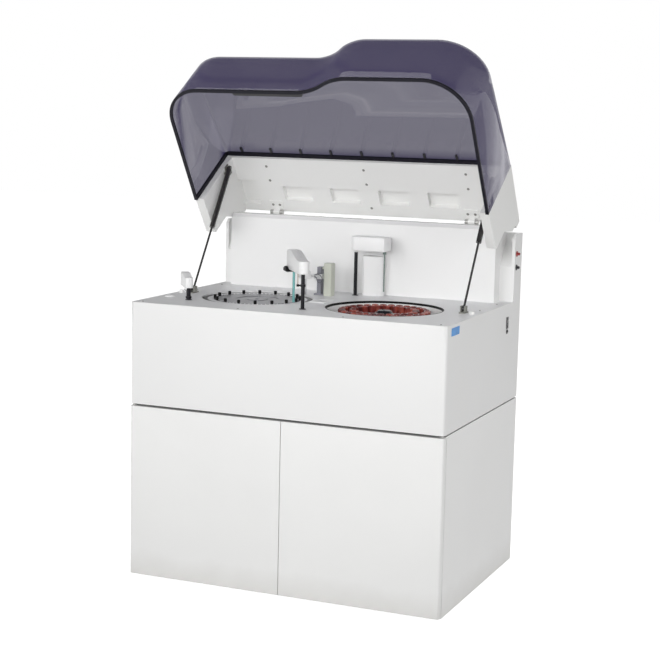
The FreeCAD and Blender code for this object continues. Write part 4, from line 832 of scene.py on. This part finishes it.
def formed_tube(corners, radius, segments=12, steps=8):
    """A stiff tube bent in a plane across Y, through a smooth curve of (x, z) corners."""
    shape = bmesh.new()
    centres = []
    padded = [corners[0]] + corners + [corners[-1]]
    for first, second, third, fourth in zip(padded, padded[1:], padded[2:], padded[3:]):
        for step in range(steps):
            part = step / steps
            centres.append(tuple(0.5 * (2 * b + (c - a) * part + (2 * a - 5 * b + 4 * c - d) * part ** 2
                                        + (3 * b - a - 3 * c + d) * part ** 3)
                                 for a, b, c, d in zip(first, second, third, fourth)))
    centres.append(corners[-1])
    rings = []
    for index, (x, z) in enumerate(centres):
        before = centres[max(index - 1, 0)]
        after = centres[min(index + 1, len(centres) - 1)]
        along = Vector((after[0] - before[0], 0, after[1] - before[1])).normalized()
        side = along.cross(Vector((0, 1, 0)))
        rings.append([shape.verts.new(Vector((x, 0, z)) + radius * (math.cos(angle) * side
                                      + Vector((0, math.sin(angle), 0))))
                      for angle in (math.tau * turn / segments for turn in range(segments))])
    for first, second in zip(rings, rings[1:]):
        for index in range(segments):
            after = (index + 1) % segments
            shape.faces.new((first[index], first[after], second[after], second[index]))
    shape.faces.new(rings[0])
    shape.faces.new(rings[-1])
    bmesh.ops.recalc_face_normals(shape, faces=shape.faces)
    return shape


tube_grey = moulded("formed_tube_grey", (0.16, 0.16, 0.18), 0.3)
loop_y = 0.080
loop = formed_tube([(-0.0860, 0.8175), (-0.0760, 0.8210), (-0.0660, 0.8170), (-0.0610, 0.8070),
                    (-0.0650, 0.7980), (-0.0720, 0.7975), (-0.0765, 0.8030), (-0.0790, 0.8110),
                    (-0.0860, 0.8140)], 0.0011)
bmesh.ops.translate(loop, verts=loop.verts, vec=(0, loop_y, 0))
as_piece("rinse_tube_loop", loop, "wash_head", tube_grey)


# Gas springs and their brackets
# Nitrided dark grey rods in glossy black painted steel barrels, with eyes at both ends. Folded grey
# brackets carry their studs on the deck and on the side walls of the lid.

rod_grey = Finish("nitrided_rod")
rod_grey.surface(base_color=rod_grey.speckle(40, 2, (0.050, 0.050, 0.050), (0.065, 0.064, 0.063)),
                 roughness=0.3, metallic=0.4)
barrel_black = Finish("barrel_black_paint")
barrel_black.surface(base_color=barrel_black.speckle(45, 3, (0.018, 0.017, 0.017), (0.035, 0.033, 0.032)),
                     roughness=0.24, coat_weight=0.4)
for side in ("left", "right"):
    wear(side + "_spring_rod", rod_grey)
    wear(side + "_spring_barrel", barrel_black)
bracket_grey = brushed("bracket_grey", (0.30, 0.30, 0.27), 0.4, 0.6)
wear("spring_brackets", bracket_grey)
wear("spring_plates", bracket_grey)


# Lid frame, seal, clips, hinges and bumpers
# The lid's rear frame is a thick white moulding with four window pockets; the smoked cover is clamped
# to it over a black rubber strip by a row of clips.

frame_white = moulded("lid_frame_white", (0.90, 0.90, 0.885), 0.36)
wear("lid_frame", frame_white)
seal_rubber = Finish("seal_rubber")
seal_rubber.surface(base_color=seal_rubber.speckle(80, 3, (0.004, 0.004, 0.008), (0.010, 0.009, 0.016)),
                    roughness=0.5, specular_ior_level=0.2)
wear("lid_seal", seal_rubber)
wear("cover_clips", satin_black)
wear("grip_lip", satin_black)
wear("hinge_leaves", frame_white)
wear("hinge_brackets", zinc)
bumper_white = moulded("bumper_white", (0.85, 0.85, 0.84), 0.5)
wear("lid_bumpers", bumper_white)

hinge = Vector((0, 0.297, 0.974))
lid_angle = math.radians(-57)
lid_open = Matrix.Translation(hinge) @ Matrix.Rotation(lid_angle, 4, "X") @ Matrix.Translation(-hinge)
rib_z = 0.985
leaf_z = 0.982
inside = [(x, y, rib_z) for x in (-0.307, 0, 0.307) for y in (0.140, 0.190)] + [(0, 0.274, rib_z)]
inside += [(side * x, 0.276, leaf_z) for side in (-1, 1) for x in (0.294, 0.316)]
screws("lid_frame_screws", inside, (0, 0, -1), "lid", 0.0042, 0.0016, lid_open)


# Smoked cover
# One thermoformed acrylic shell, smoked violet-grey and glossy, with a faint painted violet glow: its
# front wall steps in a double curve, the right shoulder leans out as it rises, and the walls roll into
# the sloping top.

acrylic = Finish("smoked_acrylic")
haze = acrylic.speckle(3.0, 3, (0.048, 0.044, 0.056), (0.056, 0.051, 0.065))
edge_on = acrylic.node("ShaderNodeLayerWeight", {}, {"Blend": 0.5}, output="Facing")
tinted = acrylic.ramp(edge_on, [(0.90, (0.62, 0.62, 0.62)), (0.99, (0.94, 0.94, 0.94))])
# Painted light: the acrylic glows faintly violet though it is no lamp, adding to its tint.
acrylic.surface(base_color=haze, roughness=0.06, alpha=tinted, ior=1.49,
                emission_color=(0.16, 0.08, 0.80), emission_strength=0.056)
half_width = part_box("smoked_cover")[1][0]
rear_y = 0.112
left_front_y = -0.258
wave_run = 0.160
wave_start = -0.045
left_corner = 0.105
right_corner = 0.125
levels = ((0.774, 0.045), (1.015, 0.0742))
ridge = Vector((0, rear_y, 1.005))
slope = math.radians(8.6)
top_normal = Vector((0, -math.sin(slope), math.cos(slope)))
edge_radius = 0.014


def wave_reach(drop):
    """How far along the front each half of the double curve reaches past its corner."""
    return (wave_run * wave_run + drop * drop) / (4 * wave_run)


def cover_loop(shape, height, drop):
    """The cover's plan at one height: a chain of corners, four of which cover_shape rounds by vertex
    bevels.
    """
    reach = wave_reach(drop)
    right_front_y = left_front_y - drop
    corners = [(-half_width, rear_y), (-half_width, left_front_y), (wave_start + reach, left_front_y),
               (wave_start + wave_run - reach, right_front_y), (half_width, right_front_y),
               (half_width, rear_y)]
    points = [shape.verts.new((x, y, height)) for x, y in corners]
    for pair in zip(points, points[1:]):
        shape.edges.new(pair)
    return points


def cover_shape():
    """Two plan loops joined by walls, cut by the sloping top, closed and rolled along its edges."""
    shape = bmesh.new()
    ends = []
    for height, drop in levels:
        points = cover_loop(shape, height, drop)
        for corners, reach, segments in (((1,), left_corner, 14), ((4,), right_corner, 14),
                                         ((2, 3), wave_reach(drop) * 0.999, 10)):
            bmesh.ops.bevel(shape, geom=[points[index] for index in corners], offset=reach,
                            affect="VERTICES", segments=segments, profile=0.5, material=-1)
        ends.append([edge for edge in shape.edges
                     if all(abs(vert.co.z - height) < 1e-5 for vert in edge.verts)])
    bmesh.ops.bridge_loops(shape, edges=ends[0] + ends[1])
    bmesh.ops.bisect_plane(shape, geom=shape.verts[:] + shape.edges[:] + shape.faces[:],
                           plane_co=ridge, plane_no=top_normal, clear_outer=True)
    rim = [edge for edge in shape.edges if edge.is_boundary
           and all(abs((vert.co - ridge).dot(top_normal)) < 1e-5 for vert in edge.verts)]
    back = [vert for vert in {vert for edge in rim for vert in edge.verts} if vert.co.y > rear_y - 1e-4]
    rim.append(shape.edges.new(back))
    bmesh.ops.contextual_create(shape, geom=rim)
    shape.normal_update()
    rolled = [edge for edge in shape.edges if len(edge.link_faces) == 2
              and edge.calc_face_angle(0) > math.radians(45)]
    bmesh.ops.bevel(shape, geom=rolled, offset=edge_radius, affect="EDGES", segments=6, profile=0.5,
                    material=-1, clamp_overlap=False)
    bmesh.ops.recalc_face_normals(shape, faces=shape.faces)
    top = max(shape.faces, key=lambda face: face.calc_area())
    if top.normal.z < 0:
        bmesh.ops.reverse_faces(shape, faces=shape.faces)
    return shape


shell = moved(cover_shape(), lid_open)
cover = as_piece("smoked_shell", shell, "lid", acrylic, 40)
wall = cover.modifiers.new("wall", "SOLIDIFY")
wall.thickness = 0.004
wall.offset = -1
wall.use_even_offset = True
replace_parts(cover, "smoked_cover")
